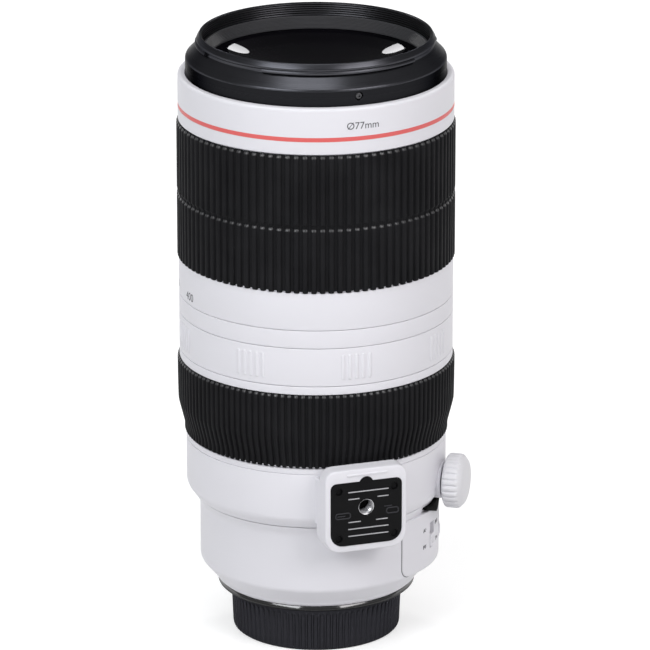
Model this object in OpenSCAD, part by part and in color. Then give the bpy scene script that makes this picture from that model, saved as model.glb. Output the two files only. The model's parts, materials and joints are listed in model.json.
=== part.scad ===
// Telephoto zoom lens standing on its rear cap, foot plate towards -Y, front towards +Z.
// Azimuths are measured from the foot (-Y) towards +X.

/* [Lengths] */
// Height of the mount flange above the base of the rear cap
cap_h = 18; // [16:0.5:20]
// Flange to the lower edge of the tripod collar
rear_l = 31.6; // [30:0.2:34]
// Tripod collar
collar_l = 20; // [19:0.2:23]
// Fixed band between the collar and the focus grip
band_l = 2.05; // [1.8:0.05:3]
// Focus grip
focus_l = 27.35; // [26:0.05:31]
// Plain lip in front of the focus grip
lip_l = 2.5; // [2.2:0.1:3.5]
// Tension ring
tension_l = 13.3; // [12:0.1:15]
// Fixed index ring
index_l = 6.3; // [5.5:0.1:8]
// Focal length scale on the zoom ring
scale_l = 13; // [11:0.5:15]
// Zoom grip
zoom_l = 47.7; // [46:0.1:54]
// Front barrel
front_l = 15.9; // [15:0.1:19]
// Filter ring standing out of the front barrel
hood_l = 13.3; // [12.5:0.1:15]
// Width of the parting lines between the rings
part_gap = 0.4; // [0.3:0.05:0.5]

/* [Radii and walls] */
// Outer radius of the extension tube
tube_r = 38.6; // [38.3:0.1:40]
// Wall of the extension tube
tube_t = 1.4; // [1.2:0.1:1.5]
// Wall of the guide barrel
guide_t = 1.1; // [0.9:0.05:1.4]
// Wall of the cam barrel
cam_t = 1.3; // [1.1:0.05:1.6]
// Wall of the outer sleeve where it is thin
sleeve_t = 0.8; // [0.7:0.05:1]
// Wall of the outer sleeve where it is thick
wide_t = 2.3; // [2.1:0.05:2.6]
// Wall of the zoom, tension and index rings
ring_t = 2; // [1.8:0.05:2.5]
// Wall of the zoom ring under its grip
zoom_core_t = 1.3; // [1.1:0.05:1.6]
// Zoom grip rubber
grip_t = 1.2; // [1:0.05:1.5]
// Focus ring wall at its rear end
focus_lo_t = 0.9; // [0.8:0.05:1.1]
// Focus ring wall at its front end
focus_hi_t = 1.5; // [1.3:0.05:1.8]
// Focus grip rubber
focus_grip_t = 1; // [0.8:0.05:1.3]
// Wall of the collar journal around the guide barrel
seat_t = 1; // [0.8:0.05:1.2]
// Step from the collar journal in to the rear barrel
rear_step = 1.15; // [1:0.05:1.4]
// Wall of the rear barrel
rear_t = 2.2; // [1.8:0.1:2.4]
// Wall of the tripod collar
collar_t = 3.1; // [2.8:0.1:3.6]
// Running clearance between pieces that turn or slide
run = 0.3; // [0.2:0.05:0.35]
// Clearance of pieces seated in one another
fit = 0.05; // [0.03:0.01:0.1]

/* [Zoom and focus] */
// Travel of the front barrel
zoom_travel = 80; // [70:1:82]
// Travel of the variator cell
vari_travel = 40; // [36:1:42]
// Turn of the zoom ring in degrees
zoom_turn = 90; // [85:1:92]
// Travel of the focus cell
focus_travel = 9; // [7:0.5:10]
// Turn of the focus motor rotor in degrees
rotor_turn = 60; // [50:1:65]
// Radius of the cam followers
pin_r = 2.2; // [1.8:0.1:2.4]
// Number of ribs on the zoom grip
grip_ribs = 100; // [80:1:120]
// Height of the groove across the zoom grip above its lower edge
groove_z = 22.4; // [18:0.1:26]
// Width of the groove across the zoom grip
groove_w = 1.1; // [0.8:0.1:2]
// Spacing of the ribs in the tension ring's groups, in degrees
rib_pitch = 2.85; // [2.6:0.05:3]

/* [Front] */
// Thread radius of the filter mount
filter_r = 38.2; // [38:0.05:38.4]
// Wall of the front rim around the filter thread
rim_t = 1.9; // [1.8:0.1:2.4]
// Step from the front rim out to the shoulder under it
hood_step = 3.8; // [3.4:0.1:4]
// Wall of the front barrel around the shoulder
front_t = 2.6; // [2.4:0.1:3]
// Step from the filter thread in to the edge of the front element
glass_in = 2.2; // [2:0.05:2.3]
// Edge of the front element that its retainer covers
clear_in = 0.4; // [0.3:0.05:0.8]
// Wall of the front cell around the elements in the extension tube
cell_t = 1.1; // [0.9:0.05:1.4]

/* [Foot and knob] */
// Width of the foot plate
plate_w = 25.2; // [24:0.2:28]
// Height of the foot plate
plate_h = 22.4; // [21.4:0.2:23]
// Thickness of the foot plate
plate_t = 2.2; // [1.8:0.1:2.6]
// Distance from the collar out to the face of the pad
foot_out = 7.3; // [6.6:0.1:9]
// White border around the foot plate
pad_edge = 1.9; // [1.6:0.1:2.6]
// White border below the foot plate
pad_low = 2.4; // [2:0.1:2.8]
// Reach of the pad in front of the collar
pad_over = 4; // [3.4:0.1:4.6]
// Reach of the pad behind the collar
pad_under = 5.2; // [4.8:0.1:5.6]
// Radius of the tripod thread, 1/4 inch with 20 threads to the inch
tripod_r = 2.55; // [2.5:0.01:2.6]
// Depth of the tripod thread
tripod_d = 6.5; // [5.5:0.1:7]
// Azimuth of the lock knob
knob_az = 56; // [50:1:64]
// Radius of the lock knob
knob_r = 9.4; // [8.4:0.1:9.8]
// Length of the lock knob
knob_l = 7.3; // [6:0.1:9]
// Number of ribs on the lock knob
knob_ribs = 27; // [20:1:32]
// Distance of the foot plate's screws from its edges
screw_in = 2.8; // [2.6:0.1:3.2]

/* [Mount and switches] */
// Outer radius of the bayonet tube
spigot_r = 25.4; // [25.2:0.05:25.6]
// Reach of the bayonet lugs out from the tube
lug_t = 1.6; // [1.4:0.05:1.8]
// Width of the mount flange around the bayonet tube
flange_w = 6.8; // [6.4:0.1:7.2]
// Wall of the rear cap
cap_t = 1.5; // [1.3:0.1:2]
// Azimuth where the switch panel starts
panel_az = 28; // [24:1:32]
// Angle covered by the switch panel
panel_arc = 94; // [90:1:96]
// Height of the middle of the switch panel above the rear barrel
panel_t = 2.35; // [2:0.05:2.6]
// How much tighter the panel's face curves than the rear barrel
panel_curve = 3.25; // [3:0.05:3.4]
// Angle between the switches
switch_pitch = 15; // [14:0.5:17]
// Height of the switches above the panel
switch_out = 0.35; // [0.2:0.05:0.4]
// Travel of the switches
switch_travel = 4; // [3:0.1:4.4]

/* [Inside] */
// Radius of the rear element
rear_glass_r = 20; // [19:0.1:20.5]
// Radius of the focus element
focus_glass_r = 20.4; // [19:0.1:20.8]
// Radius of the stabiliser element
stab_glass_r = 17.5; // [16.5:0.1:18.5]
// Wall of the variator cell
vari_t = 7.8; // [6:0.1:9]
// Outer radius of the rear cell
cell_r = 24.6; // [24:0.1:25]
// Radius of the focus guide rods
rod_r = 0.9; // [0.8:0.05:1]
// Wall of the bosses that run on the guide rods
boss_t = 0.5; // [0.4:0.05:0.7]
// Distance of the guide rods out from the rear cell
rod_out = 2.3; // [2.2:0.05:2.5]
// Distance of the mount screws out from the bayonet tube
mount_screw_out = 3.8; // [3.6:0.05:4]
// Radius of the iris opening
iris_r = 21; // [19:0.5:23]
// Wall of the iris housing
iris_t = 4.9; // [4:0.1:6]
// Shift of the stabiliser each way
stab_shift = 1; // [0.6:0.1:1.2]
// Width of the distance window
window_w = 22; // [18:0.5:26]
// Height of the distance window
window_h = 11; // [9:0.5:12]

/* [Hidden] */
$fn = 96;
hg = part_gap / 2;
white = [0.88, 0.88, 0.89];
black = [0.1, 0.1, 0.11];
rubber = [0.16, 0.16, 0.17];
metal = [0.72, 0.72, 0.74];
steel = [0.55, 0.56, 0.58];
glass = [0.55, 0.65, 0.72, 0.6];

z_collar0 = cap_h + rear_l;
z_collar1 = z_collar0 + collar_l;
z_focus0 = z_collar1 + band_l;
z_focus1 = z_focus0 + focus_l;
z_lip1 = z_focus1 + lip_l;
z_tens1 = z_lip1 + tension_l;
z_index1 = z_tens1 + index_l;
z_scale1 = z_index1 + scale_l;
z_zoom1 = z_scale1 + zoom_l;
z_front1 = z_zoom1 + front_l;
z_rim = z_front1 + hood_l;

tube_ri = tube_r - tube_t;
guide_ri = tube_r + run;
guide_ro = guide_ri + guide_t;
cam_ri = guide_ro + run;
cam_ro = cam_ri + cam_t;
sleeve_ri = cam_ro + run;
sleeve_ro = sleeve_ri + sleeve_t;
wide_ro = sleeve_ri + wide_t;
ring_ri = wide_ro + run;
ring_r = ring_ri + ring_t;
zoom_core = ring_ri + zoom_core_t;
grip_r = zoom_core + grip_t;
focus_ri = sleeve_ro + run;
focus_lo = focus_ri + focus_lo_t;
focus_hi = ring_ri + focus_hi_t;
z_cone0 = z_focus0 + 3;
z_cone1 = z_focus0 + 0.42 * focus_l;
z_step = z_cone1 - 1.8;

journal_r = guide_ro + seat_t;
collar_ri = journal_r + run;
collar_r = collar_ri + collar_t;
rear_r = journal_r - rear_step;
cavity_r = rear_r - rear_t;
lug_r = spigot_r + lug_t;
flange_r = spigot_r + flange_w;
mount_screw_x = spigot_r + mount_screw_out;
rim_ro = flange_r + 2.1;
floor_r = rim_ro - 0.3;
cone_z0 = cap_h + 2.3;
cone_z1 = cap_h + 7.8;
web_z0 = cap_h + 2.4;
web_z1 = web_z0 + 2.4;

lip_t = 2;
guide_z1 = z_zoom1 - hg - lip_t - run;
cam_z0 = z_focus0 + run;
cam_z1 = guide_z1 - 2.5;
vari_z = cam_z0 + pin_r + 2;
pin_z = cam_z0 + 18;
pin_tip = cam_ro - 0.2;
vari_r = tube_ri - 0.4;
vari_glass_r = vari_r - vari_t;
vari_curve = 150;
vari_gap = 0.4;
vari_sag = vari_curve - sqrt(pow(vari_curve, 2) - pow(vari_glass_r - fit, 2));
vari_front_z = vari_z + 5.8;
vari_rear_z = vari_front_z - 2 * vari_sag - vari_gap;
front_az = 0;
vari_az = 16;

pad_r = collar_r + foot_out;
pad_w = plate_w + 2 * pad_edge;
pad_z0 = z_collar0 - pad_under;
pad_z1 = z_collar1 + pad_over;
plate_z = pad_z0 + pad_low + plate_h / 2;
hole_z = plate_z + 2;
pad_in = focus_lo + focus_grip_t + 1.2;
bush_r = tripod_r + 0.85;
plate_top_r = 2;
plate_low_r = 4.5;
plate_bump_r = 2.5;
plate_bump_in = 0.9;
screw_x = plate_w / 2 - screw_in;
screw_z = plate_h / 2 - screw_in;
bush_r0 = pad_r - tripod_d - 1;
knob_z = z_collar0 + 6.6;
knob_r0 = collar_r + 1.6;
screw_r = 2.5;

panel_z1 = z_collar0 - 3.4;
panel_z0 = cap_h + 7.2;
panel_r = rear_r + panel_t;
panel_mid = panel_az + panel_arc / 2;
face_r = rear_r - panel_curve;
face_off = panel_r - face_r;
slot_w = 3.8;
slider_l = 4.6;
slot_l = slider_l + switch_travel + 2 * run;
slot_r = rear_r + 0.6;
slot_z0 = (panel_z0 + 2.4 + panel_z1 - slot_l) / 2;
switch_az = [for (i = [0:3]) panel_mid + switch_pitch * (i - 1.5)];

stator_z0 = web_z1 + 1.8;
rotor_z0 = stator_z0 + 5.7;
focus_pin_r = 1.5;
focus_pin_z = rotor_z0 + 9.7;
rotor_z1 = focus_pin_z + focus_travel + focus_pin_r + 2.5;
rod_x = cell_r + rod_out;
rotor_r = rod_x + rod_r + boss_t + 0.2;
seat_z = rotor_z1 + 5.6;
stab_z0 = seat_z - 3.1;
window_z = cap_h + 13.3;
iris_z0 = seat_z + 6.6;

rim_r = filter_r + rim_t;
hood_r = rim_r + hood_step;
front_r = hood_r + front_t;
glass_r = filter_r - glass_in;
clear_r = glass_r - clear_in;
inner_glass_r = tube_ri - cell_t - 2 * fit;
hood_top = z_front1 + 5.5;
thread_z0 = hood_top + 3.4;
retain_r = filter_r - 0.35;
seat_r = retain_r - 0.3;
rail_z = z_rim - 3.6;
front_cell_z = z_zoom1 + 8.4;
cap_ri = lug_r + 0.4;
cap_ro = cap_ri + cap_t;
lug_z0 = cap_h - 5;
lug_z1 = cap_h - 2.6;
lug_arc = 50;

module at_az(a) {
  rotate([0, 0, a - 90]) children();
}

module radial(r0, r1, rad) {
  rotate([0, 90, 0]) translate([0, 0, r0]) cylinder(h = r1 - r0, r = rad);
}

module tube(ri, ro, z0, z1) {
  translate([0, 0, z0]) difference() {
    cylinder(h = z1 - z0, r = ro);
    translate([0, 0, -1]) cylinder(h = z1 - z0 + 2, r = ri);
  }
}

module lathe(pts) {
  rotate_extrude() polygon(pts);
}

module sector(ri, ro, z0, z1, a0, arc) {
  rotate([0, 0, a0 - 90]) rotate_extrude(angle = arc)
    translate([ri, z0]) square([ro - ri, z1 - z0]);
}

function bulge(x, r) = sign(r) * (abs(r) - sqrt(r * r - x * x));

// Lens with vertices at zb and zf; a radius above zero curves its surface outwards
module lens(r, zb, zf, rb, rf) {
  steps = 10;
  front = [for (i = [0:steps]) [r * i / steps, zf - bulge(r * i / steps, rf)]];
  back = [for (i = [steps:-1:0]) [r * i / steps, zb + bulge(r * i / steps, rb)]];
  lathe(concat(front, back));
}

// Slot that a pin of the given radius follows while it rises and the slotted tube turns
module helix_slot(r0, r1, az, z0, rise, turn, rad) {
  per = turn / rise;
  slant = (r0 + r1) / 2 * per * PI / 180;
  half_w = (rad + run) * sqrt(1 + slant * slant);
  over = rad + 2 * run;
  translate([0, 0, z0 - over]) rotate([0, 0, az - 90 - per * over])
    linear_extrude(height = rise + 2 * over, twist = -per * (rise + 2 * over), slices = 32, $fn = 6)
      translate([r0, -half_w]) square([r1 - r0, 2 * half_w]);
}

module straight_slot(r0, r1, az, z0, rise, rad) {
  at_az(az) {
    translate([0, 0, z0]) radial(r0, r1, rad);
    translate([0, 0, z0 + rise]) radial(r0, r1, rad);
    translate([r0, -rad, z0]) cube([r1 - r0, 2 * rad, rise]);
  }
}

module on_pad(depth0, depth1) {
  translate([0, -depth0, 0]) rotate([90, 0, 0]) linear_extrude(depth1 - depth0) children();
}

module rounded(w, h, r) {
  square([w - 2 * r, h], center = true);
  square([w, h - 2 * r], center = true);
  for (sx = [-1, 1], sy = [-1, 1])
    translate([sx * (w / 2 - r), sy * (h / 2 - r)]) circle(r);
}

// Foot plate with tighter corners at the top and a half-round bump on its upper edge
module plate_outline(grow) {
  w = plate_w / 2 + grow;
  h = plate_h / 2 + grow;
  translate([-w, plate_low_r - h]) square([2 * w, 2 * h - plate_low_r - plate_top_r]);
  translate([plate_low_r - w, -h]) square([2 * (w - plate_low_r), plate_low_r + 1]);
  translate([plate_top_r - w, h - plate_top_r - 1]) square([2 * (w - plate_top_r), plate_top_r + 1]);
  for (sx = [-1, 1]) {
    translate([sx * (w - plate_low_r), plate_low_r - h]) circle(plate_low_r);
    translate([sx * (w - plate_top_r), h - plate_top_r]) circle(plate_top_r);
  }
  translate([0, plate_h / 2 - plate_bump_in]) circle(plate_bump_r + grow);
}

module rear_barrel() {
  color(white) difference() {
    lathe([[rim_ro - 1.9, cap_h + 0.2], [rim_ro, cap_h + 0.2], [rim_ro + 0.8, cone_z0],
      [rear_r, cone_z1], [rear_r, z_collar0 - 3.4], [rear_r + 1.75, z_collar0 - hg],
      [journal_r, z_collar0 - hg], [journal_r, z_collar1], [guide_ro + fit, z_collar1],
      [guide_ro + fit, seat_z], [cavity_r, seat_z], [cavity_r, cone_z1], [floor_r, web_z1],
      [cell_r + fit, web_z1], [cell_r + fit, web_z0], [rim_ro - 1.9, web_z0]]);
    translate([-window_w / 2, rear_r - 6, window_z]) cube([window_w, 12, window_h]);
    for (a = [45:90:315]) at_az(a) translate([mount_screw_x, 0, web_z0 - 1]) cylinder(h = 4, r = 1);
  }
}

module distance_window() {
  color(glass) intersection() {
    tube(cavity_r + fit, rear_r - 0.1, window_z + fit, window_z + window_h - fit);
    translate([-window_w / 2 + fit, 0, cap_h]) cube([window_w - 2 * fit, rear_r + 4, 40]);
  }
}

module guide_barrel() {
  color(metal) difference() {
    tube(guide_ri, guide_ro, seat_z, guide_z1);
    for (k = [0:2]) {
      straight_slot(guide_ri - 2, guide_ro + 2, front_az + 120 * k, pin_z, zoom_travel, pin_r + run);
      straight_slot(guide_ri - 2, guide_ro + 2, vari_az + 120 * k, vari_z, vari_travel, pin_r + run);
    }
  }
}

module outer_sleeve() {
  color(white) lathe([[guide_ro + fit, z_collar1], [collar_r - 0.1, z_collar1],
    [collar_r - 0.1, z_focus0 - hg], [sleeve_ro, z_focus0 - hg], [sleeve_ro, z_step],
    [wide_ro, z_step + 1.8], [wide_ro, z_index1 + 8.6], [sleeve_ri, z_index1 + 8.6],
    [sleeve_ri, z_focus0 - hg], [guide_ro + fit, z_focus0 - hg]]);
}

module index_ring() {
  color(white) tube(wide_ro, ring_r, z_tens1 + hg, z_index1 - hg);
}

module mount_bayonet() {
  color(metal) difference() {
    union() {
      tube(spigot_r - 1.8, flange_r, cap_h, web_z0);
      tube(spigot_r - 1.8, spigot_r, cap_h - 6.6, cap_h + 1);
      for (k = [0:2]) sector(spigot_r - 1, lug_r, lug_z0, lug_z1, 120 * k - lug_arc / 2, lug_arc);
    }
    for (a = [45:90:315]) at_az(a) translate([mount_screw_x, 0, cap_h - 1]) cylinder(h = 5, r = 1);
    for (a = [45:90:315]) at_az(a) translate([mount_screw_x, 0, cap_h - 0.1]) cylinder(h = 1.1, r = 1.9);
  }
}

module mount_screws() {
  color(steel) for (a = [45:90:315]) at_az(a) translate([mount_screw_x, 0, cap_h + 0.1]) {
    difference() {
      cylinder(h = 0.9, r = 1.85);
      translate([-1.2, -0.2, -0.1]) cube([2.4, 0.4, 0.5]);
      translate([-0.2, -1.2, -0.1]) cube([0.4, 2.4, 0.5]);
    }
    translate([0, 0, 0.8]) cylinder(h = web_z1 - cap_h - 1, r = 0.97);
  }
}

module mount_seal() {
  color(rubber) lathe([[flange_r + fit, cap_h + 0.2], [flange_r + fit, cap_h - 0.6],
    [flange_r + 1.2, cap_h - 1.8], [flange_r + 1.6, cap_h - 1.7], [flange_r + 1.7, cap_h + 0.2]]);
}

module contact_block() {
  color(black) sector(spigot_r - 4.8, spigot_r - 1.8, cap_h - 6.4, cap_h + 0.4, -35, 70);
}

module contact_pins() {
  color([0.85, 0.7, 0.35]) for (i = [0:7]) at_az(-28 + 8 * i)
    translate([spigot_r - 3.3, 0, cap_h - 6.7]) cylinder(h = 0.3, r = 0.9);
}

module rear_baffle() {
  color(black) difference() {
    translate([0, 0, cap_h + 0.5]) cylinder(h = 1.7, r = spigot_r - 1.8 - fit);
    translate([-16, -12, cap_h]) cube([32, 24, 4]);
  }
}

module circuit_board() {
  color([0.1, 0.32, 0.2]) {
    tube(cell_r + 0.5, floor_r - 0.6, web_z1, web_z1 + 1.2);
    for (a = [20:40:340]) at_az(a) translate([cell_r + 1.2, -2, web_z1 + 1]) cube([3.4, 4, 0.7]);
  }
}

module rear_cell() {
  color(black) difference() {
    union() {
      tube(rear_glass_r + fit, cell_r, web_z0 + 0.2, rotor_z0 - 0.5);
      tube(rear_glass_r + fit, rotor_r - 0.4, rotor_z0 - 2.6, rotor_z0 - 0.5);
    }
    for (s = [-1, 1]) translate([s * rod_x, 0, rotor_z0 - 1.5]) cylinder(h = 3, r = rod_r + fit);
  }
}

module rear_element() {
  color(glass) lens(rear_glass_r, web_z0 + 1.2, rotor_z0 - 0.9, 90, 60);
}

// Distance of the panel's face from the lens axis at an azimuth
function face_at(a) = face_off * cos(a - panel_mid)
  + sqrt(face_r * face_r - pow(face_off * sin(a - panel_mid), 2));

module switch_panel() {
  color(white) difference() {
    intersection() {
      sector(rear_r, panel_r + 1, cone_z1, panel_z1, panel_az, panel_arc);
      at_az(panel_mid) translate([face_off, 0, 0]) lathe([[0, panel_z0], [face_r - 1.6, panel_z0],
        [face_r, panel_z0 + 2], [face_r, panel_z1 - 0.4], [face_r - 0.4, panel_z1], [0, panel_z1]]);
    }
    for (a = switch_az) at_az(a) translate([slot_r, -slot_w / 2, slot_z0])
      cube([6, slot_w, slot_l]);
  }
}

module slider(i) {
  at_az(switch_az[i]) difference() {
    translate([slot_r + run, -slot_w / 2 + run, slot_z0 + run])
      cube([face_at(switch_az[i]) + switch_out - slot_r - run, slot_w - 2 * run, slider_l]);
    for (k = [1:3]) translate([face_at(switch_az[i]), -slot_w, slot_z0 + run + slider_l * k / 4 - 0.25])
      cube([1, 2 * slot_w, 0.5]);
  }
}

module switch_focus_mode() {
  color(white) slider(0);
}

module switch_range() {
  color(white) slider(1);
}

module switch_stabiliser() {
  color(white) slider(2);
}

module switch_mode() {
  color(white) slider(3);
}

module focus_motor_stator() {
  color(steel) difference() {
    tube(rotor_r + 1.5, cavity_r - fit, cone_z1, rotor_z0 - run);
    for (a = [0:10:350]) at_az(a) translate([rotor_r + 0.5, -0.3, rotor_z0 - run - 1.5]) cube([6, 0.6, 2]);
  }
}

module focus_motor_rotor() {
  color(metal) difference() {
    union() {
      tube(rotor_r, cavity_r - 1.6, rotor_z0, rotor_z0 + 2.7);
      tube(rotor_r, rotor_r + 1.2, rotor_z0, rotor_z1);
    }
    for (k = [0:2]) helix_slot(rotor_r - 2, rotor_r + 3, 60 + 120 * k, focus_pin_z, focus_travel,
      -rotor_turn, focus_pin_r);
  }
}

module distance_scale() {
  color([0.93, 0.93, 0.9]) tube(cavity_r - 1.6, cavity_r - 0.45, rotor_z0, rotor_z0 + 11.5);
}

module focus_guide_rods() {
  color(steel) for (s = [-1, 1]) translate([s * rod_x, 0, rotor_z0 - 1.5])
    cylinder(h = stab_z0 - rotor_z0 + 2.5, r = rod_r);
}

module focus_cell() {
  color(black) difference() {
    union() {
      tube(focus_glass_r, cell_r - 0.2, rotor_z0 + 2.7, rotor_z0 + 13.7);
      for (s = [-1, 1]) translate([s * rod_x, 0, focus_pin_z - 2]) cylinder(h = 5, r = rod_r + boss_t);
      for (s = [-1, 1]) translate([s * (rod_x - 2) - 1.4, -1.3, focus_pin_z - 2]) cube([2.8, 2.6, 5]);
      for (k = [0:2]) at_az(60 + 120 * k) translate([0, 0, focus_pin_z])
        radial(cell_r - 1, rotor_r + 1, focus_pin_r);
    }
    for (s = [-1, 1]) translate([s * rod_x, 0, focus_pin_z - 4]) cylinder(h = 9, r = rod_r + 0.1);
    translate([0, 0, rotor_z0]) cylinder(h = 16, r = focus_glass_r);
  }
}

module focus_element() {
  color(glass) lens(focus_glass_r - fit, rotor_z0 + 6.2, rotor_z0 + 9.2, -70, -110);
}

module stabiliser_base() {
  color(black) difference() {
    tube(stab_glass_r + stab_shift + 0.5, cavity_r - fit, stab_z0, stab_z0 + 2);
    for (s = [-1, 1]) translate([s * rod_x, 0, stab_z0 - 1]) cylinder(h = 2.2, r = rod_r + fit);
  }
}

module stabiliser_carrier() {
  color(steel) tube(stab_glass_r + stab_shift + 1.5, stab_glass_r + 13.5, stab_z0 + 2 + run, stab_z0 + 3.4);
}

module stabiliser_cell() {
  color(black) tube(stab_glass_r, stab_glass_r + 7.5, stab_z0 + 3.4 + run, stab_z0 + 8.6);
}

module stabiliser_element() {
  color(glass) lens(stab_glass_r - fit, stab_z0 + 3.9, stab_z0 + 8.5, 120, 120);
}

module iris_housing() {
  color(black) {
    tube(iris_r, guide_ri - fit, iris_z0, iris_z0 + 1.2);
    tube(guide_ri - iris_t, guide_ri - fit, iris_z0 + 1.2, iris_z0 + 4.2);
  }
}

module iris_blades() {
  color([0.2, 0.2, 0.21]) for (i = [0:8])
    sector(iris_r + 0.5, guide_ri - iris_t - 0.5, iris_z0 + 1.2 + 0.3 * i, iris_z0 + 1.42 + 0.3 * i,
      40 * i, 62);
}

module zoom_ring() {
  color(white) lathe([[ring_ri, z_index1 + hg], [ring_r, z_index1 + hg], [ring_r, z_scale1],
    [zoom_core, z_scale1], [zoom_core, z_zoom1 - hg], [tube_r + 0.5, z_zoom1 - hg],
    [tube_r + 0.5, z_zoom1 - hg - lip_t], [wide_ro, z_zoom1 - hg - lip_t],
    [wide_ro, z_index1 + 9], [ring_ri, z_index1 + 9]]);
}

module zoom_grip() {
  pitch = 360 / grip_ribs;
  outline = [for (i = [0:grip_ribs - 1], c = [[0.05, 0], [0.2, 1], [0.8, 1], [0.95, 0]])
    (grip_r - 0.5 + 0.5 * c[1]) * [cos(pitch * (i + c[0])), sin(pitch * (i + c[0]))]];
  upper_l = zoom_l - hg - groove_z - groove_w;
  color(rubber) difference() {
    union() {
      translate([0, 0, z_scale1]) linear_extrude(groove_z) polygon(outline);
      translate([0, 0, z_scale1 + groove_z + groove_w]) linear_extrude(upper_l) polygon(outline);
      translate([0, 0, z_scale1 + groove_z - 0.2]) cylinder(h = groove_w + 0.4, r = grip_r - 0.8);
    }
    translate([0, 0, z_scale1 - 1]) cylinder(h = zoom_l + 2, r = zoom_core, $fn = 360);
  }
}

module cam_barrel() {
  color(metal) difference() {
    tube(cam_ri, cam_ro, cam_z0, cam_z1);
    for (k = [0:2]) {
      helix_slot(cam_ri - 2, cam_ro + 2, front_az + 120 * k, pin_z, zoom_travel, zoom_turn, pin_r);
      helix_slot(cam_ri - 2, cam_ro + 2, vari_az + 120 * k, vari_z, vari_travel, zoom_turn, pin_r);
    }
  }
}

module zoom_keys() {
  color(steel) intersection() {
    for (k = [0:2]) at_az(75 + 120 * k) translate([cam_ro - 2, -5, z_scale1 + 4]) cube([6, 10, 12]);
    tube(cam_ro, wide_ro, z_scale1, z_scale1 + 30);
  }
}

module extension_tube() {
  color(white) difference() {
    tube(tube_ri, tube_r, pin_z - 4.2, front_cell_z);
    for (k = [0:2]) at_az(front_az + 120 * k) translate([0, 0, pin_z])
      radial(tube_ri - 2, tube_r + 2, pin_r);
  }
}

module front_followers() {
  color(steel) for (k = [0:2]) at_az(front_az + 120 * k) translate([0, 0, pin_z])
    radial(tube_ri + 0.3, pin_tip, pin_r - fit);
}

module front_barrel() {
  z0 = z_zoom1 + hg;
  color(white) difference() {
    union() {
      lathe([[hood_r + fit, z0], [front_r, z0], [front_r, z_front1 - 1.5],
        [front_r - 0.45, z_front1 - 0.45], [front_r - 1.5, z_front1], [hood_r + fit, z_front1]]);
      tube(tube_r + fit, hood_r + 1, z0, z0 + 2.4);
      tube(tube_r + fit, tube_r + 1.7, z0, front_cell_z);
    }
    tube(front_r - 0.5, front_r + 1, z_zoom1 + 4.6, z_zoom1 + 6.05);
  }
}

module accent_ring() {
  color([0.82, 0.25, 0.25]) tube(front_r - 0.5, front_r, z_zoom1 + 4.6, z_zoom1 + 6.05);
}

module front_cell() {
  color(black) {
    tube(inner_glass_r + fit, tube_ri - fit, z_zoom1 - 9, front_cell_z + 1);
    tube(min(glass_r, inner_glass_r) + fit, hood_r - fit, front_cell_z, front_cell_z + 2.2);
    tube(glass_r + fit, glass_r + 1, front_cell_z + 2.2, hood_top - 1.4);
  }
}

module front_element() {
  color(glass) lens(glass_r, front_cell_z + 3.6, hood_top + 1.9, 600, 200);
}

module second_element() {
  color(glass) lens(inner_glass_r, z_zoom1 - 2, z_zoom1 + 9, 200, 160);
}

module third_element() {
  color(glass) lens(inner_glass_r, z_zoom1 - 7.2, z_zoom1 - 5.4, -400, -200);
}

module filter_ring() {
  color(black) {
    difference() {
      lathe([[glass_r + 1 + fit, front_cell_z + 2.2], [hood_r, front_cell_z + 2.2],
        [hood_r, hood_top], [hood_r - 1.7, hood_top + 2.4], [rim_r - 0.6, hood_top + 2.6],
        [rim_r - 0.6, z_rim - 2.6], [rim_r, z_rim - 2.6], [rim_r, z_rim - 0.6], [rim_r - 0.6, z_rim],
        [filter_r + 0.3, z_rim], [filter_r, z_rim - 0.3], [filter_r, thread_z0], [retain_r + fit, thread_z0],
        [seat_r + fit, hood_top - 1.2], [glass_r + 1 + fit, hood_top - 1.2]]);
      for (a = [0:120:240]) at_az(a) translate([0, 0, z_front1 + 3]) radial(hood_r - 1.5, hood_r + 1, 0.95);
    }
    for (k = [0:2]) sector(rim_r - 0.8, rim_r + 0.5, rail_z, z_rim - 2.4, 120 * k - 45, 80);
  }
}

module hood_ring_screws() {
  color(steel) for (a = [0:120:240]) at_az(a) translate([0, 0, z_front1 + 3])
    radial(hood_r - 1.5, hood_r - 0.1, 0.9);
}

module front_retainer() {
  color(black) lathe([[clear_r, hood_top - 1.1], [seat_r, hood_top - 1.1],
    [retain_r, thread_z0 - 0.2], [retain_r - 0.4, thread_z0 - 0.2], [clear_r, hood_top - 0.8]]);
}

module variator_cell() {
  color(black) difference() {
    tube(vari_glass_r, vari_r, vari_rear_z - 3.8, vari_z + 9);
    for (k = [0:2]) at_az(vari_az + 120 * k) translate([0, 0, vari_z]) radial(vari_r - 3, vari_r + 2, pin_r);
  }
}

module variator_followers() {
  color(steel) for (k = [0:2]) at_az(vari_az + 120 * k) translate([0, 0, vari_z])
    radial(vari_r - 3, pin_tip, pin_r - fit);
}

module variator_front_element() {
  color(glass) lens(vari_glass_r - fit, vari_front_z, vari_front_z + 1.6, -vari_curve, -260);
}

module variator_rear_element() {
  color(glass) lens(vari_glass_r - fit, vari_rear_z - 2, vari_rear_z, -400, -vari_curve);
}

module focus_ring() {
  color(white) lathe([[focus_ri, z_focus0 + hg], [focus_lo, z_focus0 + hg], [focus_lo, z_cone0],
    [focus_hi, z_cone1], [focus_hi, z_focus1], [ring_r, z_focus1], [ring_r, z_lip1 - hg],
    [ring_ri, z_lip1 - hg], [ring_ri, z_cone1], [focus_ri, z_step - 0.6]]);
}

module focus_grip() {
  color(rubber) lathe([[focus_lo, z_focus0 + hg], [focus_lo + focus_grip_t, z_focus0 + hg],
    [focus_lo + focus_grip_t, z_cone0], [focus_hi + focus_grip_t, z_cone1],
    [focus_hi + focus_grip_t + 0.2, z_focus1 - hg], [focus_hi, z_focus1 - hg], [focus_hi, z_cone1],
    [focus_lo, z_cone0]]);
}

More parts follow.
